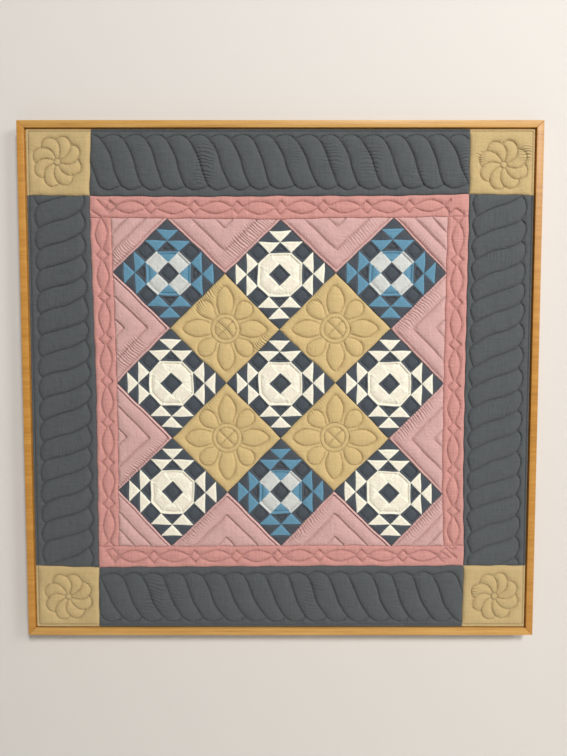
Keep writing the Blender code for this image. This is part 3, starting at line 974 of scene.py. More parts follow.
@dataclass(frozen=True)
class CottonFinish:
    """Plain woven cotton, dyed one colour, quilted with thread close to it.

    Grain is the weave's turn in degrees. Thread, stitch and the reaches are lengths, in metres. The
    others say how strongly the cloth is mottled, crinkled, pinched beside its stitches, streaked
    along its threads, darkened by painted shade in its grooves and paler over a turned edge. Relief
    is in millimetres.
    """

    name: str
    colour: Colour
    worn: Colour
    thread_colour: Colour
    grain: float = 0.0
    thread: float = 0.42 * MM
    mottle: float = 0.35
    crinkle: float = 1.0
    stitch: float = 2.9 * MM
    sheen: float = 0.12
    turned: float = 1.10
    painted_groove_shade: float = 0.26
    groove_reach: float = 2.4 * MM
    pinch: float = 1.25
    streaks: float = 1.4
    thread_reach: float = 0.75 * MM
    near_reach: float = 9.0 * MM
    thread_out: float = 0.58
    relief: ClassVar[dict[str, float]] = {
        "weave": 0.05, "slub": 0.16, "ripple": 0.5, "crumple": 2.4, "streak": 0.30, "fold": 1.15,
        "groove": 1.2, "stitch": 0.22, "hole": 0.10}

    def times(self, share: float) -> Colour:
        """Return the dye at a share of its brightness."""
        return tuple(share * part for part in self.colour)

    def weave(self, bench: Bench, place: bpy.types.NodeSocket) -> Term:
        """Return the plain weave: high on the crossings, low in the holes."""
        inputs = {"Vector": place, "Scale": 2 * math.pi / 20 / (2 * self.thread), "Distortion": 0.35,
                  "Detail": 1.0, "Detail Scale": 1.5}
        warp, weft = (bench.term("ShaderNodeTexWave", {"wave_type": "BANDS", "bands_direction": way},
                                 inputs, "Fac") for way in ("X", "Z"))
        return warp * weft + (1 - warp) * (1 - weft)

    def drawn(self, bench: Bench, fine: float, coarse: float, detail: float, roughness: float) -> Term:
        """Return a noise drawn out along the warp and along the weft, fine across and coarse along."""
        turn = math.radians(self.grain)
        warp, weft = (bench.noise(bench.place(turn, stretch), 1.0, detail, roughness)
                      for stretch in ((fine, 1.0, coarse), (coarse, 1.0, fine)))
        return (warp + weft) * 0.5

    @staticmethod
    def within(away: Term, reach: float) -> Term:
        """Return 1 at a stitch, falling to 0 at a reach from it."""
        return (1 - away * (1 / reach)).clamped()

    def material(self) -> bpy.types.Material:
        """Return the cotton's material: weave, slubs, faint fading, crinkles and stitches, with painted
        shade in its stitch grooves and fold creases and painted highlight on its fold ridges.
        """
        bench = Bench(self.name)
        place = bench.place(math.radians(self.grain))
        plain = self.weave(bench, place)
        slub = self.drawn(bench, 520.0, 22.0, 3.0, 0.65)
        streak = self.drawn(bench, 270.0, 16.0, 2.0, 0.6)
        fading = bench.noise(place, 16.0, 4.0, 0.6)
        crinkle = bench.noise(place, 150.0, 3.0, 0.6)
        ripple = bench.noise(place, 55.0, 2.0)
        crumple = ((ripple - 0.5) * (ripple - 0.5)) ** 0.5
        away, run, hold, gathered, turned, steady, phase = (bench.attribute(label) for label in (
            "stitch_away", "stitch_run", "stitch_hold", "gathered", "turned_edge", "stitch_steady",
            "fold_phase"))
        near = self.within(away, self.near_reach)
        beside_stitch = bench.node("ShaderNodeCombineXYZ", {}, {"X": run * 310.0, "Y": away * 70.0})
        pinch = bench.noise(beside_stitch.outputs["Vector"], 1.0, 2.0, 0.6) * steady
        fold = (phase + (ripple - 0.5) * 0.9).fraction()
        ridge = fold * (1 - fold) * 4
        # painted shade: the colour is darkened in the creases of the gathered folds, where shade falls
        painted_crease_shade = (1 - ridge) * (1 - ridge) * (gathered * (0.5 + crinkle)).clamped()
        # groove also drives painted shade: below, the colour is darkened beside each quilting stitch, where
        # the cloth sinks into shade
        groove = self.within(away, self.groove_reach) * (1 - hold * 1.7)
        dash = (run * (1 / self.stitch)).fraction() < self.thread_out
        line = self.within(away, self.thread_reach) * (hold < 0.1)
        darker, painted_shade_colour = self.times(0.62), self.times(0.42)
        pale_tone_and_highlight = tuple(min(1.0, part + 0.01) for part in self.times(self.turned))
        colour = self.colour
        for share, over in (
            ((fading * 1.6 - 0.3).clamped() * self.mottle, self.worn),
            (turned * 0.9, pale_tone_and_highlight),
            (((1 - plain) * 0.10 + (slub - 0.42) * 1.3).clamped(), darker),
            (((streak - 0.5) * self.streaks).clamped(), darker),
            (((0.5 - streak) * self.streaks).clamped(), pale_tone_and_highlight),
            # painted shade in the fold creases, then painted highlight on the fold ridges (the paler tone
            # also serves the real turned edges and streaks)
            (painted_crease_shade * 0.6, painted_shade_colour),
            ((ridge * ridge * gathered * 0.3).clamped(), pale_tone_and_highlight),
            # painted shade along the stitch grooves
            (groove * self.painted_groove_shade, painted_shade_colour),
            (line * dash * 0.8, self.thread_colour),
        ):
            colour = bench.mixed(share, colour, over)
        relief = self.relief
        height = plain * relief["weave"] + slub * relief["slub"] + streak * relief["streak"]
        height += crinkle * self.crinkle * (0.7 + near * 0.8) + pinch * near * self.pinch
        height += ripple * relief["ripple"] + crumple * relief["crumple"]
        height += ridge * gathered * relief["fold"] - groove * groove * relief["groove"]
        height += line * dash * relief["stitch"] - (1 - dash) * line * relief["hole"]
        return bench.finish(colour, 0.86 + (1 - plain) * 0.08, height, 1.0 * MM, Sheen_Weight=self.sheen,
                            Sheen_Roughness=0.5, Specular_IOR_Level=0.25)


@dataclass(frozen=True)
class OakFinish:
    """Clear finished oak with its grain along one axis of the frame."""

    name: str
    light: Colour
    honey: Colour
    dark: Colour
    is_upright: bool

    def material(self) -> bpy.types.Material:
        """Return the oak's material: figure, pores and a satin surface."""
        bench = Bench(self.name)
        turn = math.pi / 2 if self.is_upright else 0.0
        broad = bench.noise(bench.place(turn, (3.0, 60.0, 60.0)), 1.0, 4.0, 0.55)
        rings = bench.noise(bench.place(turn, (7.0, 260.0, 260.0)), 1.0, 3.0, 0.6)
        pores = bench.noise(bench.place(turn, (55.0, 1500.0, 1500.0)), 1.0, 2.0, 0.6)
        figure = (broad * 0.6 + rings * 0.7 - 0.15).clamped()
        stops = [(0.28, self.dark), (0.5, self.honey), (0.74, self.light)]
        ramp = bench.node("ShaderNodeValToRGB", {"stops": stops}, {"Fac": figure})
        pore = ((pores - 0.6) * 6).clamped()
        colour = bench.mixed(pore * 0.45, ramp.outputs["Color"], tuple(0.55 * part for part in self.dark))
        height = figure * 0.05 - pore * 0.12
        return bench.finish(colour, 0.42 + pore * 0.25, height, 1.0 * MM, Specular_IOR_Level=0.35,
                            Coat_Weight=0.06, Coat_Roughness=0.3)


@dataclass(frozen=True)
class PlasterFinish:
    """Plain pale paint on the wall or floor."""

    name: str
    colour: Colour

    def material(self) -> bpy.types.Material:
        """Return the paint's material."""
        bench = Bench(self.name)
        grit = bench.noise(bench.place(), 300.0, 3.0)
        colour = bench.mixed(grit * 0.4, self.colour, tuple(0.97 * part for part in self.colour))
        return bench.finish(colour, 0.9, grit * 0.05, 1.0 * MM)


@dataclass
class CottonShelf:
    """Every cotton of the quilt, one bolt for straight and one for panels set on point."""

    charcoal: CottonFinish = CottonFinish(
        "charcoal_cotton", (0.064, 0.076, 0.090), (0.092, 0.104, 0.118), (0.10, 0.11, 0.12), 45.0, painted_groove_shade=0.2,
        streaks=1.4)
    cream: CottonFinish = CottonFinish(
        "cream_cotton", (0.93, 0.86, 0.70), (0.86, 0.75, 0.60), (0.80, 0.72, 0.58), 45.0, painted_groove_shade=0.12,
        streaks=0.7, pinch=1.5, crinkle=1.5)
    blue: CottonFinish = CottonFinish(
        "blue_cotton", (0.120, 0.280, 0.395), (0.160, 0.325, 0.430), (0.16, 0.34, 0.46), 45.0, painted_groove_shade=0.3)
    silver: CottonFinish = CottonFinish(
        "silver_cotton", (0.63, 0.64, 0.60), (0.73, 0.74, 0.69), (0.60, 0.62, 0.58), 45.0, painted_groove_shade=0.12,
        streaks=0.8, pinch=1.5, crinkle=1.5)
    tan_on_point: CottonFinish = CottonFinish(
        "tan_cotton_on_point", (0.660, 0.485, 0.222), (0.590, 0.420, 0.182), (0.55, 0.41, 0.2), 45.0)
    tan: CottonFinish = CottonFinish(
        "tan_cotton", (0.570, 0.420, 0.198), (0.512, 0.362, 0.160), (0.55, 0.41, 0.2))
    blush: CottonFinish = CottonFinish(
        "blush_cotton", (0.662, 0.402, 0.372), (0.605, 0.366, 0.343), (0.62, 0.40, 0.37),
        crinkle=2.1, pinch=2.1, streaks=1.5, turned=1.2)
    rose: CottonFinish = CottonFinish(
        "rose_cotton", (0.635, 0.300, 0.262), (0.578, 0.280, 0.250), (0.56, 0.29, 0.26),
        crinkle=1.3, streaks=3.0)
    slate: CottonFinish = CottonFinish(
        "slate_cotton", (0.088, 0.096, 0.099), (0.108, 0.116, 0.116), (0.11, 0.12, 0.12),
        streaks=2.4, painted_groove_shade=0.4)
    natural: CottonFinish = CottonFinish(
        "natural_backing_cotton", (0.72, 0.66, 0.54), (0.66, 0.60, 0.48), (0.7, 0.64, 0.5))
    made: dict[str, bpy.types.Material] = field(default_factory=dict)

    def take(self, finish: CottonFinish) -> bpy.types.Material:
        """Return a finish's material, made the first time that it is asked for."""
        if finish.name not in self.made:
            self.made[finish.name] = finish.material()
        return self.made[finish.name]

    def panel(self, name: str, slot: str, cottons: Sequence[CottonFinish], grid: ClothGrid,
              lines: Sequence[StitchLine], **more: Any) -> None:
        """Make a panel backed with natural cotton.

        Args:
            name: the name of the solid that it stands in for.
            slot: its material slot; not used.
            cottons: what its face is cut from.
            grid: its cloth.
            lines: its stitches.
            **more: the panel's other values, by name.
        """
        worn = [self.take(cotton) for cotton in cottons]
        Panel(name, slot, grid, lines, worn, self.take(self.natural), **more).build()


@dataclass
class Block:
    """A square on point, measured in patches along its two lower sides."""

    column: int
    row: int

    @property
    def middle(self) -> Point:
        """Middle of the block."""
        return (self.column * LAYOUT.half_step, self.row * LAYOUT.half_step)

    @property
    def low(self) -> np.ndarray:
        """Lowest corner of the block."""
        return np.array(self.middle) - (0.0, LAYOUT.half_step)

    def at(self, right: float, left: float) -> Point:
        """Return the place a number of patches up its right and its left side."""
        half = LAYOUT.half_step / LAYOUT.patches
        return tuple(self.low + half * np.array([right - left, right + left]))

    def corners(self, places: Sequence[tuple[int, int]]) -> np.ndarray:
        """Return some patches' corners, each given as patches up the right and the left side."""
        return np.array([self.at(*place) for place in places])

    def patches_of(self, points: np.ndarray) -> tuple[np.ndarray, np.ndarray]:
        """Return points as patches up the right and the left side."""
        half = LAYOUT.half_step / LAYOUT.patches
        offset = (points - self.low) / half
        return (offset[..., 1] + offset[..., 0]) / 2, (offset[..., 1] - offset[..., 0]) / 2

    def grid(self) -> ClothGrid:
        """Return the block's cloth."""
        return ClothGrid(self.low, self.at(LAYOUT.patches, 0), self.at(0, LAYOUT.patches))


@dataclass
class PiecedBlocks:
    """The nine pieced blocks: corners of half squares round an eight-sided ring."""

    shelf: CottonShelf
    ridge: float = 2.0
    blue_blocks: Sequence[tuple[int, int]] = ((-2, 2), (2, 2), (0, -2))
    corner_patches: Sequence[int] = (0, 1, 3, 4)

    def seams(self, block: Block) -> list[StitchLine]:
        """Return the seams between a block's patches."""
        ends = []
        count = LAYOUT.patches
        for seam in range(1, count):
            ends += [((seam, 0), (seam, count)), ((0, seam), (count, seam))]
        for right in self.corner_patches:
            for left in self.corner_patches:
                drop = int((right < 2) == (left < 2))
                ends.append(((right + drop, left), (right + 1 - drop, left + 1)))
        return [StitchLine(block.corners(pair), Hold.PATCH_SEAM) for pair in ends]

    def ring(self, block: Block) -> np.ndarray:
        """Return the corners of the eight-sided ring."""
        return block.corners(((2, 1), (3, 1), (4, 2), (4, 3), (3, 4), (2, 4), (1, 3), (1, 2)))

    def quilting(self, block: Block) -> list[StitchLine]:
        """Return the echo lines: inside the ring, the dark squares and the small dark triangles."""
        shapes = [self.ring(block)]
        for right, left in ((2, 0), (4, 2), (2, 4), (0, 2), (2, 2)):
            shapes.append(block.corners([(right + out, left + up) for out, up in CELL_CORNERS]))
        for corners in (((1, 1), (2, 1), (1, 2)), ((3, 1), (4, 1), (4, 2)),
                        ((4, 3), (4, 4), (3, 4)), ((1, 3), (2, 4), (1, 4))):
            shapes.append(block.corners(corners))
        return [StitchLine(inset(shape, LAYOUT.quarter_inch)) for shape in shapes]

    def colours(self, block: Block) -> Callable[[np.ndarray], np.ndarray]:
        """Return the rule that gives each place its cotton: 0 dark, 1 light, 2 ring squares."""

        def rule(points: np.ndarray) -> np.ndarray:
            """Return the cotton at each place."""
            right, left = block.patches_of(points)
            column, row = np.floor(right).astype(int), np.floor(left).astype(int)
            inner_right = np.where(column < 2, right - column, 1 - (right - column))
            inner_left = np.where(row < 2, left - row, 1 - (left - row))
            corner = (column != 2) & (row != 2)
            worn = np.where(corner & (inner_right + inner_left > 1), 1, 0)
            cross = np.abs(column - 2) + np.abs(row - 2) == 1
            return np.where(cross, 2, worn)

        return rule

    def fullness(self, block: Block) -> Callable[[np.ndarray], np.ndarray]:
        """Return the rule for how full each place is: seams' folds fill the ring's outer band."""

        def rule(points: np.ndarray) -> np.ndarray:
            """Return the fullness at each place."""
            corners = self.ring(block)
            inside = np.full(points.shape[:-1], np.inf)
            for start, end in zip(corners, np.roll(corners, -1, axis=0)):
                way = (end - start) / np.linalg.norm(end - start)
                offset = points - start
                inside = np.minimum(inside, way[0] * offset[..., 1] - way[1] * offset[..., 0])
            band = (inside > 0) & (inside < LAYOUT.quarter_inch)
            return np.where(band, self.ridge, 1.0)

        return rule

    def build(self) -> None:
        """Make the nine blocks."""
        for row_name, row in (("top", 2), ("middle", 0), ("bottom", -2)):
            for column_name, column in (("left", -2), ("centre", 0), ("right", 2)):
                block = Block(column, row)
                is_blue = (column, row) in self.blue_blocks
                light = [self.shelf.blue, self.shelf.silver] if is_blue else [self.shelf.cream] * 2
                seams = self.seams(block)
                self.shelf.panel(
                    f"block_{row_name}_{column_name}",
                    "blue_patchwork" if is_blue else "cream_patchwork",
                    [self.shelf.charcoal, *light],
                    block.grid(),
                    seams + self.quilting(block),
                    colour_of=self.colours(block),
                    boost_of=self.fullness(block),
                    folds=[tuple(line.points) for line in seams],
                    fold_width=4.5 * MM,
                    fold_lift=1.25,
                    puff=Puff(crown=7.0 * MM, crisp_reach=3.4 * MM),
                )


@dataclass(frozen=True)
class Petal:
    """A petal's size: root, tip, widths and where it is fullest."""

    root: float
    tip: float
    root_width: float
    width: float
    fullest: float
    point: float

    def line(self, middle: Point, heading: float, steps: int = 14) -> StitchLine:
        """Return the petal's outline, from its root round the tip and back.

        Args:
            middle: the flower's middle.
            heading: which way the petal points, in radians.
            steps: how many points each half has.

        Returns:
            The line of stitches.
        """
        share = np.sin(np.linspace(0.0, math.pi / 2, steps + 1))
        rise = np.sin(np.clip(share / self.fullest, 0.0, 1.0) * math.pi / 2)
        fall = np.clip((share - self.fullest) / (1 - self.fullest), 0.0, 1.0)
        opened = self.root_width + (self.width - self.root_width) * rise
        width = np.where(share < self.fullest, opened, self.width * (1 - fall ** 2) ** self.point)
        along = self.root + (self.tip - self.root) * share
        half = np.stack([along, width], axis=1)
        both = np.vstack([half, (half * (1, -1))[-2::-1]])
        cosine, sine = math.cos(heading), math.sin(heading)
        return StitchLine(both @ np.array([[cosine, sine], [-sine, cosine]]) + middle)


@dataclass
class PlainBlocks:
    """The four tan blocks, quilted with an eight-petalled flower."""

    shelf: CottonShelf
    rings: Sequence[float] = (26.3 * MM, 36.5 * MM)
    long_petal: Petal = Petal(39 * MM, 105 * MM, 14 * MM, 21.5 * MM, 0.42, 0.78)
    round_petal: Petal = Petal(40 * MM, 90 * MM, 8 * MM, 20 * MM, 0.55, 0.5)

    def flower(self, middle: Point) -> list[StitchLine]:
        """Return the flower's lines about a middle."""
        lines = []
        for radius in self.rings:
            turns = np.linspace(0.0, 2 * math.pi, 49)
            lines.append(StitchLine(np.array([around(middle, radius, turn) for turn in turns])))
        for quarter in range(4):
            heading = quarter * math.pi / 2
            lines.append(self.long_petal.line(middle, heading))
            lines.append(self.round_petal.line(middle, heading + math.pi / 4))
            end = around(middle, self.rings[0], heading + math.pi / 4)
            lines.append(StitchLine(np.array([middle, end])))
        return lines

    def build(self) -> None:
        """Make the four blocks."""
        for row_name, row in (("upper", 1), ("lower", -1)):
            for column_name, column in (("left", -1), ("right", 1)):
                block = Block(column, row)
                name = f"plain_block_{row_name}_{column_name}"
                lines = self.flower(block.middle)
                self.shelf.panel(name, "tan_cotton", [self.shelf.tan_on_point], block.grid(), lines)


@dataclass
class SettingTriangles:
    """The pale triangles that square off the blocks, quilted with lines beside their seams."""

    shelf: CottonShelf
    echo: float = 40.0 * MM
    corner_echo: float = 30.5 * MM
    ridge: float = 3.2

    def chevrons(self, square: np.ndarray, first: np.ndarray, second: np.ndarray) -> list[StitchLine]:
        """Return a side triangle's lines, each bent at its square corner."""
        first_way = (first - square) / np.linalg.norm(first - square)
        second_way = (second - square) / np.linalg.norm(second - square)
        reach = np.linalg.norm(first - square)
        lines = []
        for inwards in (LAYOUT.quarter_inch, self.echo, 2 * self.echo):
            bend = square + (first_way + second_way) * inwards
            lines.append(StitchLine(np.array([bend + first_way * reach, bend, bend + second_way * reach])))
        return lines

    def slants(self, square: np.ndarray, first: np.ndarray, second: np.ndarray) -> list[StitchLine]:
        """Return a corner triangle's lines, all along its long side."""
        height = np.linalg.norm(first - square) / math.sqrt(2)
        lines = []
        for echo in range(3):
            share = 1 - (LAYOUT.quarter_inch + echo * self.corner_echo) / height
            lines.append(StitchLine(np.array([square + (first - square) * share,
                                              square + (second - square) * share])))
        return lines

    def triangle(self, name: str, corners: Sequence[Point], side: Side, is_corner: bool) -> None:
        """Make one triangle from its square corner and the other two, drawn for the top side."""
        square, first, second = side.turn(corners)
        lines = (self.slants if is_corner else self.chevrons)(square, first, second)
        seams = [(first, second)] if is_corner else [(square, first), (square, second)]
        self.shelf.panel(
            name,
            "blush_cotton",
            [self.shelf.blush],
            ClothGrid(square, first, second, triangular=True),
            lines,
            folds=seams,
            fold_width=5.2 * MM,
            fold_lift=self.ridge,
            puff=Puff(crown=10.0 * MM, crisp_share=0.7),
        )

    def build(self) -> None:
        """Make the eight side triangles and the four corner triangles."""
        half, edge = LAYOUT.half_step, LAYOUT.medallion
        for side in Side:
            for number, across in ((1, -1), (2, 1)):
                corners = [(across * half, 2 * half), ((across + 1) * half, edge),
                           ((across - 1) * half, edge)]
                self.triangle(f"side_triangle_{side.label}_{number}", corners, side, False)
        corners = [(edge, edge), (2 * half, edge), (edge, 2 * half)]
        for side in Side:
            self.triangle(f"corner_triangle_{side.corner}", corners, side, True)


@dataclass
class InnerStrips:
    """The rose strips, quilted with a chain of seeds and small diamonds.

    Shifts move a strip's chain along. Corner lines are irregular, and lie on the sewn quilt.
    """

    shelf: CottonShelf
    pitch: float = 102.5 * MM
    length: float = 76.0 * MM
    half_height: float = 14.5 * MM
    pinch: float = 1.5 * MM
    seeds: int = 8
    corner_unit: float = 0.9744 * MM
    shifts: ClassVar[dict[Side, float]] = {
        Side.TOP: -0.5 * MM, Side.LEFT: 5.0 * MM, Side.BOTTOM: 8.0 * MM, Side.RIGHT: 7.0 * MM}
    corner_lines: ClassVar[dict[Side, Sequence[Sequence[Point]]]] = {
        Side.TOP: (
            ((-408, 441), (-424, 455), (-435, 441), (-421, 428), (-408, 441)),
            ((-455, 457), (-430, 430)),
            ((-470, 430), (-457, 422), (-447, 415)),
            ((412, 441), (418, 428), (420, 416)),
            ((418, 422), (437, 436), (457, 422), (438, 407)),
        ),
        Side.BOTTOM: (
            ((400, -440), (410, -450), (427, -450)),
            ((412, -432), (435, -448)),
            ((422, -423), (450, -448)),
            ((430, -420), (440, -428), (450, -420)),
            ((-415, -440), (-430, -456), (-447, -430), (-430, -424)),
        ),
    }

    def chain(self, side: Side) -> list[StitchLine]:
        """Return a strip's chain, drawn for the top side."""
        middle = LAYOUT.medallion + LAYOUT.strip / 2
        shift = self.shifts[side]
        lines = []
        for way in (1, -1):
            for seed in range(self.seeds):
                centre = (seed - (self.seeds - 1) / 2) * self.pitch + shift
                share = np.linspace(-1.0, 1.0, 25)
                height = self.pinch + (self.half_height - self.pinch) * np.cos(share * math.pi / 2)
                seed_line = np.stack([centre + share * self.length / 2, middle + way * height], axis=1)
                tip = [(centre + self.pitch / 2, middle + way * self.half_height)]
                lead = [(centre - self.pitch / 2, middle + way * self.half_height)]
                lines.append(StitchLine(np.vstack([lead, seed_line, tip])))
        return lines

    def build(self) -> None:
        """Make the four strips, the top and bottom ones over the ends of the others."""
        for side in Side:
            reach = LAYOUT.strip_out if side in (Side.TOP, Side.BOTTOM) else LAYOUT.medallion
            corners = [(-reach, LAYOUT.medallion), (reach, LAYOUT.medallion), (-reach, LAYOUT.strip_out)]
            lines = [StitchLine(side.turn(line.points)) for line in self.chain(side)]
            for line in self.corner_lines.get(side, ()):
                lines.append(StitchLine(PIECING.unsew(np.array(line) * self.corner_unit)))
            self.shelf.panel(f"inner_strip_{side.label}", "rose_cotton", [self.shelf.rose],
                             ClothGrid(*side.turn(corners)), lines, puff=Puff(crown=9.4 * MM))


@dataclass(frozen=True)
class Cable:
    """One border's cable.

    Turns give where each turn of the cable crosses a fifth and four fifths of the border, in
    millimetres. The bow says how far along the middle crossings are, and the other four numbers
    are the scallops' heights as shares of the border's width.
    """

    turns: Sequence[Point]
    bow: Point
    peak: float
    cusp: float
    low_cusp: float
    low: float
    scallop: float = 30.0 * MM

    def lines(self) -> list[StitchLine]:
        """Return the cable's lines, drawn for the top side."""
        places = np.array(self.turns) * MM
        lines = []
        for index, (foot, head) in enumerate(places):
            knots = []
            if index > 0:
                knots.append((places[index - 1][1] - 3 * MM, self.cusp))
                knots.append((head - 1.5 * self.scallop, self.peak - 0.018))
            knots.append((head - self.scallop, self.peak))
            knots.append((head - self.scallop / 2, (self.peak + self.cusp) / 2 + 0.008))
            knots.append((head, 0.8))
            knots.append((foot + (head - foot) * self.bow[1], 0.6))
            knots.append((foot + (head - foot) * self.bow[0], 0.4))
            knots.append((foot, 0.2))
            knots.append((foot + 0.4 * self.scallop, (self.low_cusp + self.low) / 2))
            knots.append((foot + self.scallop, self.low))
            if index < len(places) - 1:
                knots.append((places[index + 1][0] + 3 * MM, self.low_cusp))
            line = smooth([(along, LAYOUT.strip_out + height * LAYOUT.border) for along, height in knots])
            lines.append(StitchLine(line))
        return lines


@dataclass
class OuterBorders:
    """The slate borders, quilted with a running cable."""

    shelf: CottonShelf
    cables: ClassVar[dict[Side, Cable]] = {
        Side.TOP: Cable(
            ((-437, -476), (-385, -426), (-333, -372), (-282, -319), (-231, -269), (-175, -216),
             (-125, -166), (-77, -115), (-27, -62), (30, -11), (85, 41), (134, 97), (183, 148),
             (239, 199), (289, 253), (340, 306), (391, 358), (451, 409), (502, 460)),
            (0.33, 0.58), 0.918, 0.860, 0.155, 0.095),
        Side.LEFT: Cable(
            ((-462, -503), (-413, -456), (-365, -395), (-314, -346), (-263, -297), (-211, -245),
             (-164, -193), (-110, -143), (-52, -90), (-2, -38), (49, 18), (102, 68), (149, 120),
             (207, 172), (255, 225), (308, 277), (361, 328), (416, 380), (469, 436), (520, 487)),
            (0.44, 0.68), 0.895, 0.835, 0.155, 0.090),
        Side.BOTTOM: Cable(
            ((-440, -483), (-381, -427), (-327, -372), (-276, -317), (-227, -269), (-169, -218),
             (-119, -163), (-68, -110), (-20, -58), (35, -7), (88, 42), (139, 94), (190, 148),
             (239, 201), (292, 251), (343, 301), (394, 353), (451, 403), (502, 454)),
            (0.29, 0.55), 0.920, 0.855, 0.150, 0.105),
        Side.RIGHT: Cable(
            ((-462, -505), (-409, -452), (-358, -395), (-307, -343), (-255, -293), (-205, -243),
             (-155, -195), (-102, -146), (-45, -91), (4, -36), (54, 19), (109, 69), (157, 119),
             (210, 170), (258, 228), (308, 278), (365, 332), (419, 383), (476, 438), (527, 489)),
            (0.38, 0.61), 0.895, 0.820, 0.115, 0.060),
    }

    def build(self) -> None:
        """Make the four borders."""
        reach = LAYOUT.strip_out
        corners = [(-reach, LAYOUT.strip_out), (reach, LAYOUT.strip_out), (-reach, LAYOUT.quilt)]
        hem = np.array([(way * LAYOUT.quilt, LAYOUT.quilt - LAYOUT.hem) for way in (-1, 1)])
        for side in Side:
            lines = self.cables[side].lines() + [StitchLine(hem)]
            lines = [StitchLine(side.turn(line.points)) for line in lines]
            self.shelf.panel(f"outer_border_{side.label}", "slate_cotton", [self.shelf.slate],
                             ClothGrid(*side.turn(corners)), lines)


@dataclass
class CornerSquares:
    """The tan corner squares, quilted with a pinwheel flower."""

    shelf: CottonShelf
    eye: float = 8.0 * MM
    notch: float = 51.5 * MM
    reach: float = 61.0 * MM
    petals: int = 8
    sweep: float = math.radians(24)
    turn: float = math.radians(5)
    middles: ClassVar[dict[str, Point]] = {
        "top_right": (538.9 * MM, 529.1 * MM), "top_left": (-539.5 * MM, 536.0 * MM),
        "bottom_left": (-533.0 * MM, -536.9 * MM), "bottom_right": (536.9 * MM, -535.9 * MM)}

    def wheel(self, middle: Point) -> list[StitchLine]:
        """Return the pinwheel's lines about a middle."""
        turns = np.linspace(0.0, 2 * math.pi, 25)
        lines = [StitchLine(np.array([around(middle, self.eye, turn) for turn in turns]))]
        rim = []
        for petal in range(self.petals):
            notch = self.turn + 2 * math.pi * petal / self.petals
            share = np.linspace(0.0, 1.0, 12)
            radius = self.eye + (self.notch - self.eye) * share
            angle = notch - self.sweep * (1 - share ** 2)
            spoke = [around(middle, far, turn) for far, turn in zip(radius, angle)]
            lines.append(StitchLine(np.array(spoke)))
            for share_round in np.linspace(0.0, 1.0, 9)[:-1]:
                far = self.notch + (self.reach - self.notch) * math.sin(math.pi * share_round)
                rim.append(around(middle, far, notch + 2 * math.pi / self.petals * share_round))
        lines.append(StitchLine(np.array(rim + rim[:1])))
        return lines

    def build(self) -> None:
        """Make the four corner squares."""
        low, high = LAYOUT.strip_out, LAYOUT.quilt
        line = high - LAYOUT.hem
        hem = [(low, line), (line, line), (line, low)]
        for side in Side:
            middle = PIECING.unsew(np.array([self.middles[side.corner]]))[0]
            grid = ClothGrid(*side.turn([(low, low), (high, low), (low, high)]))
            lines = self.wheel(tuple(middle)) + [StitchLine(side.turn(hem))]
            self.shelf.panel(f"corner_square_{side.corner}", "tan_cotton", [self.shelf.tan], grid, lines)


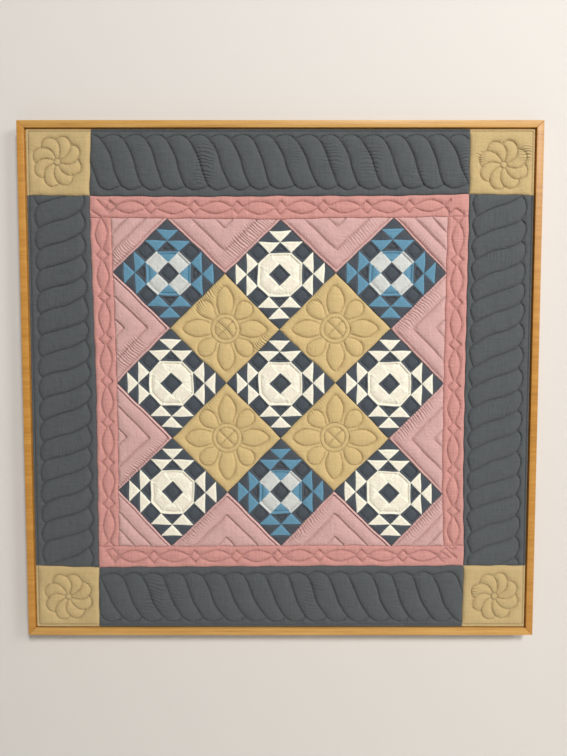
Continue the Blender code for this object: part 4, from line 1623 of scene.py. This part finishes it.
@dataclass
class FloaterFrame:
    """The oak frame: four mitred rails with a thin face and a ledge behind the quilt's edge."""

    edge_round: float = 0.9 * MM
    level: OakFinish = OakFinish(
        "oak_level_grain", (0.66, 0.39, 0.125), (0.60, 0.325, 0.085), (0.46, 0.225, 0.05), is_upright=False)
    upright: OakFinish = OakFinish(
        "oak_upright_grain", (0.60, 0.31, 0.070), (0.53, 0.24, 0.042), (0.40, 0.175, 0.028), is_upright=True)

    def rail(self) -> bpy.types.Object:
        """Model the top rail: a slab, its face strip drawn forward, both ends mitred, edges eased.

        Returns:
            The rail's object, with its place in its mesh.
        """
        width = LAYOUT.rail_face + LAYOUT.ledge_reach
        bpy.ops.object.select_all(action="DESELECT")
        bpy.ops.mesh.primitive_cube_add(size=1.0)
        made = bpy.context.object
        made.dimensions = (2 * LAYOUT.frame, LAYOUT.ledge_depth, width)
        made.location = (0.0, -LAYOUT.ledge_depth / 2, LAYOUT.frame - width / 2)
        bpy.ops.object.transform_apply(location=True, rotation=True, scale=True)
        bpy.ops.object.mode_set(mode="EDIT")
        bpy.ops.mesh.select_all(action="SELECT")
        step = LAYOUT.frame - LAYOUT.rail_face
        bpy.ops.mesh.bisect(plane_co=(0.0, 0.0, step), plane_no=(0.0, 0.0, 1.0))
        bpy.ops.object.mode_set(mode="OBJECT")
        for polygon in made.data.polygons:
            polygon.select = polygon.center.z > step and polygon.normal.y < -0.9
        bpy.ops.object.mode_set(mode="EDIT")
        bpy.ops.mesh.select_mode(type="FACE")
        drop = LAYOUT.ledge_depth - LAYOUT.rail_depth
        bpy.ops.mesh.extrude_region_move(TRANSFORM_OT_translate={"value": (0.0, drop, 0.0)})
        slack = LAYOUT.mitre_gap / math.sqrt(2)
        for way in (1, -1):
            bpy.ops.mesh.select_all(action="SELECT")
            bpy.ops.mesh.bisect(plane_co=(way * (LAYOUT.frame - slack), 0.0, LAYOUT.frame),
                                plane_no=(way, 0.0, -1.0), use_fill=True, clear_outer=True)
        bpy.ops.mesh.select_all(action="SELECT")
        bpy.ops.mesh.remove_doubles(threshold=1e-6)
        bpy.ops.mesh.normals_make_consistent(inside=False)
        bpy.ops.object.mode_set(mode="OBJECT")
        rounding = made.modifiers.new("eased_edges", "BEVEL")
        rounding.width = self.edge_round
        rounding.segments = 3
        rounding.limit_method = "ANGLE"
        rounding.angle_limit = math.radians(30)
        bpy.ops.object.modifier_apply(modifier=rounding.name)
        return made

    def build(self) -> None:
        """Make the four rails from the first one."""
        first = self.rail()
        grains = {True: self.level.material(), False: self.upright.material()}
        for side in Side:
            mesh = first.data.copy()
            mesh.transform(Matrix.Rotation(-side.value * math.pi / 2, 4, "Y"))
            mesh.transform(Matrix.Translation((0.0, 0.0, LAYOUT.centre_up)))
            mesh.materials.clear()
            mesh.materials.append(grains[side in (Side.TOP, Side.BOTTOM)])
            name = f"frame_rail_{side.label}"
            piece = bpy.data.objects.new(name + "_oak", mesh)
            bpy.context.scene.collection.objects.link(piece)
            bpy.ops.object.select_all(action="DESELECT")
            piece.select_set(True)
            bpy.context.view_layer.objects.active = piece
            bpy.ops.object.shade_smooth_by_angle(angle=math.radians(35))
            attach(piece, "root")
            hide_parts(name)
            LOG.info("%s: %d faces", name, len(mesh.polygons))
        bpy.data.objects.remove(first, do_unlink=True)


@dataclass(frozen=True)
class Gathers:
    """Where the hand stitching has gathered the cloth into small folds, by panel."""

    by_panel: ClassVar[dict[str, Sequence[Pucker]]] = {
        "outer_border_top": (
            Pucker((-183, 530), -6, 24, 55, 8.5, 1.18), Pucker((124, 545), -8, 22, 40, 8, 0.81),
            Pucker((219, 540), -6, 24, 44, 9, 0.87), Pucker((39, 560), -6, 18, 25, 7, 0.56),
            Pucker((447, 520), 0, 15, 62, 7.5, 0.93), Pucker((-60, 601), 30, 12, 13, 6, 0.56),
            Pucker((-330, 575), -8, 20, 20, 8, 0.37), Pucker((330, 500), -6, 22, 30, 9, 0.43),
        ),
        "outer_border_bottom": (
            Pucker((-314, -530), -8, 24, 50, 8.5, 0.93), Pucker((-263, -535), -8, 22, 40, 8, 0.62),
            Pucker((80, -530), -6, 24, 45, 8.5, 0.62), Pucker((300, -540), -6, 24, 35, 9, 0.37),
        ),
        "outer_border_left": (
            Pucker((-540, 200), 78, 22, 40, 9, 0.25), Pucker((-535, -160), 80, 22, 40, 9, 0.19),
        ),
        "outer_border_right": (
            Pucker((535, 310), 80, 22, 40, 9, 0.43), Pucker((540, -60), 80, 22, 40, 9, 0.37),
        ),
        "corner_square_top_right": (
            Pucker((592, 558), 0, 17, 20, 6.5, 1.5), Pucker((485, 548), 0, 13, 12, 6, 1.1),
        ),
        "corner_square_bottom_right": (Pucker((488, -520), 10, 12, 16, 6, 0.8),),
        "corner_square_top_left": (Pucker((-595, 560), 0, 12, 20, 6, 0.3),),
        "side_triangle_left_2": (
            Pucker((-368, 78), -45, 21, 46, 6.5, 1.7), Pucker((-330, 200), -45, 14, 60, 7, 0.5),
        ),
        "side_triangle_top_1": (
            Pucker((-78, 361), -45, 21, 76, 6.5, 1.6), Pucker((-190, 370), 45, 14, 50, 7, 0.5),
        ),
        "side_triangle_top_2": (Pucker((190, 360), -45, 18, 60, 7, 0.8),),
        "side_triangle_right_1": (Pucker((333, 180), -45, 20, 64, 7, 1.4),),
        "side_triangle_right_2": (Pucker((326, -89), -45, 19, 64, 7, 1.4),),
        "side_triangle_bottom_1": (Pucker((64, -351), -45, 17, 62, 7, 1.1),),
        "side_triangle_bottom_2": (Pucker((-205, -350), -45, 17, 62, 7, 1.0),),
        "side_triangle_left_1": (Pucker((-345, -205), -45, 18, 84, 6.5, 1.4),),
        "corner_triangle_top_left": (Pucker((-385, 318), -45, 19, 40, 6.5, 1.3),),
        "corner_triangle_bottom_right": (
            Pucker((352, -333), -45, 20, 70, 7, 1.2), Pucker((385, -375), -45, 16, 30, 6.5, 0.35),
        ),
        "corner_triangle_top_right": (Pucker((345, 345), 45, 16, 40, 7, 0.5),),
        "plain_block_upper_left": (
            Pucker((-180, 212), -45, 14, 45, 6, 1.6), Pucker((-42, 102), -45, 12, 26, 6, 1.7),
            Pucker((-135, 135), -45, 24, 12, 5, 1.2),
        ),
        "plain_block_upper_right": (Pucker((84, 208), -45, 10, 40, 6, 0.8),),
        "plain_block_lower_left": (Pucker((-186, -60), -45, 10, 46, 6, 0.9),),
        "plain_block_lower_right": (Pucker((84, -62), -45, 10, 46, 6, 0.8),),
    }


@dataclass(frozen=True)
class Lamp:
    """A square soft light that faces the quilt's middle."""

    name: str
    way: tuple[float, float, float]
    distance: float
    size: float
    power: float

    def build(self) -> None:
        """Add the light."""
        target = Vector((0.0, 0.0, LAYOUT.centre_up))
        light = bpy.data.lights.new(self.name, "AREA")
        light.shape = "SQUARE"
        light.size = self.size
        light.energy = self.power
        made = bpy.data.objects.new(self.name, light)
        made.location = target + Vector(self.way).normalized() * self.distance
        made.rotation_euler = (target - made.location).to_track_quat("-Z", "Y").to_euler()
        bpy.context.scene.collection.objects.link(made)


@dataclass
class Studio:
    """The wall behind, a pale floor, soft light from the upper right, and the camera."""

    wall_reach: float = 2.4
    wall_gap: float = 1.0 * MM
    opening: float = 4.0 * MM
    floor_drop: float = 0.85
    floor_reach: float = 3.2
    lens: float = 27.0
    sensor: float = 36.0
    camera_place: tuple[float, float, float] = (0.0076, -1.429, LAYOUT.centre_up + 0.0876)
    camera_tilt: float = 3.03
    lamps: Sequence[Lamp] = (
        Lamp("key_light", (0.35, -1.0, 0.70), 6.5, 1.3, 305.0),
        Lamp("wash_light", (0.92, -0.80, 0.45), 5.0, 1.4, 84.0),
        Lamp("back_light", (-0.4, 1.0, 0.5), 3.0, 2.0, 120.0),
    )
    sky: Colour = (0.88, 0.87, 0.88)
    sky_power: float = 0.17

    @property
    def floor_height(self) -> float:
        """Height of the floor."""
        return LAYOUT.centre_up - LAYOUT.frame - self.floor_drop

    def sheet_of(self, name: str, corners: Sequence[tuple[float, float, float]],
                 material: bpy.types.Material) -> None:
        """Add a flat four-cornered backdrop."""
        mesh = bpy.data.meshes.new(name)
        mesh.from_pydata([Vector(corner) for corner in corners], [], [(0, 1, 2, 3)])
        mesh.materials.append(material)
        made = bpy.data.objects.new(name, mesh)
        bpy.context.scene.collection.objects.link(made)

    def wall(self) -> None:
        """Add the wall as four panes round the frame, so that the quilt's back stays in view."""
        paint = PlasterFinish("wall_paint", (0.71, 0.672, 0.62)).material()
        far, near, up = self.wall_reach, LAYOUT.frame - self.opening, LAYOUT.centre_up
        rows = ((-far, far, up + near, up + far), (-far, far, self.floor_height, up - near),
                (-far, -near, up - near, up + near), (near, far, up - near, up + near))
        for number, (left, right, low, high) in enumerate(rows):
            corners = [(left, self.wall_gap, low), (right, self.wall_gap, low),
                       (right, self.wall_gap, high), (left, self.wall_gap, high)]
            self.sheet_of(f"wall_{number}", corners, paint)

    def floor(self) -> None:
        """Add the floor in front of the wall."""
        paint = PlasterFinish("floor_paint", (0.74, 0.72, 0.69)).material()
        far, near, height = self.wall_reach, -self.floor_reach, self.floor_height
        corners = [(-far, near, height), (far, near, height),
                   (far, self.wall_gap, height), (-far, self.wall_gap, height)]
        self.sheet_of("floor", corners, paint)

    def build(self) -> None:
        """Set the stage, the lights and the camera."""
        self.wall()
        self.floor()
        for lamp in self.lamps:
            lamp.build()
        world = bpy.data.worlds.new("soft_sky")
        world.use_nodes = True
        ground = world.node_tree.nodes["Background"]
        ground.inputs["Color"].default_value = (*self.sky, 1.0)
        ground.inputs["Strength"].default_value = self.sky_power
        scene = bpy.context.scene
        scene.world = world
        scene.view_settings.view_transform = "Standard"
        eye = bpy.data.cameras.new("camera")
        eye.lens = self.lens
        eye.sensor_width = self.sensor
        made = bpy.data.objects.new("camera", eye)
        made.location = self.camera_place
        made.rotation_euler = (math.radians(90 - self.camera_tilt), 0.0, 0.0)
        scene.collection.objects.link(made)
        scene.camera = made


def main() -> None:
    """Build the quilt, its frame and the studio."""
    logging.basicConfig(level=logging.INFO, format="%(message)s")
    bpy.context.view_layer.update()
    shelf = CottonShelf()
    for part in (PiecedBlocks(shelf), PlainBlocks(shelf), SettingTriangles(shelf), InnerStrips(shelf),
                 OuterBorders(shelf), CornerSquares(shelf), FloaterFrame(), Studio()):
        LOG.info("%s", type(part).__name__)
        part.build()


if __name__ == "__main__":
    main()
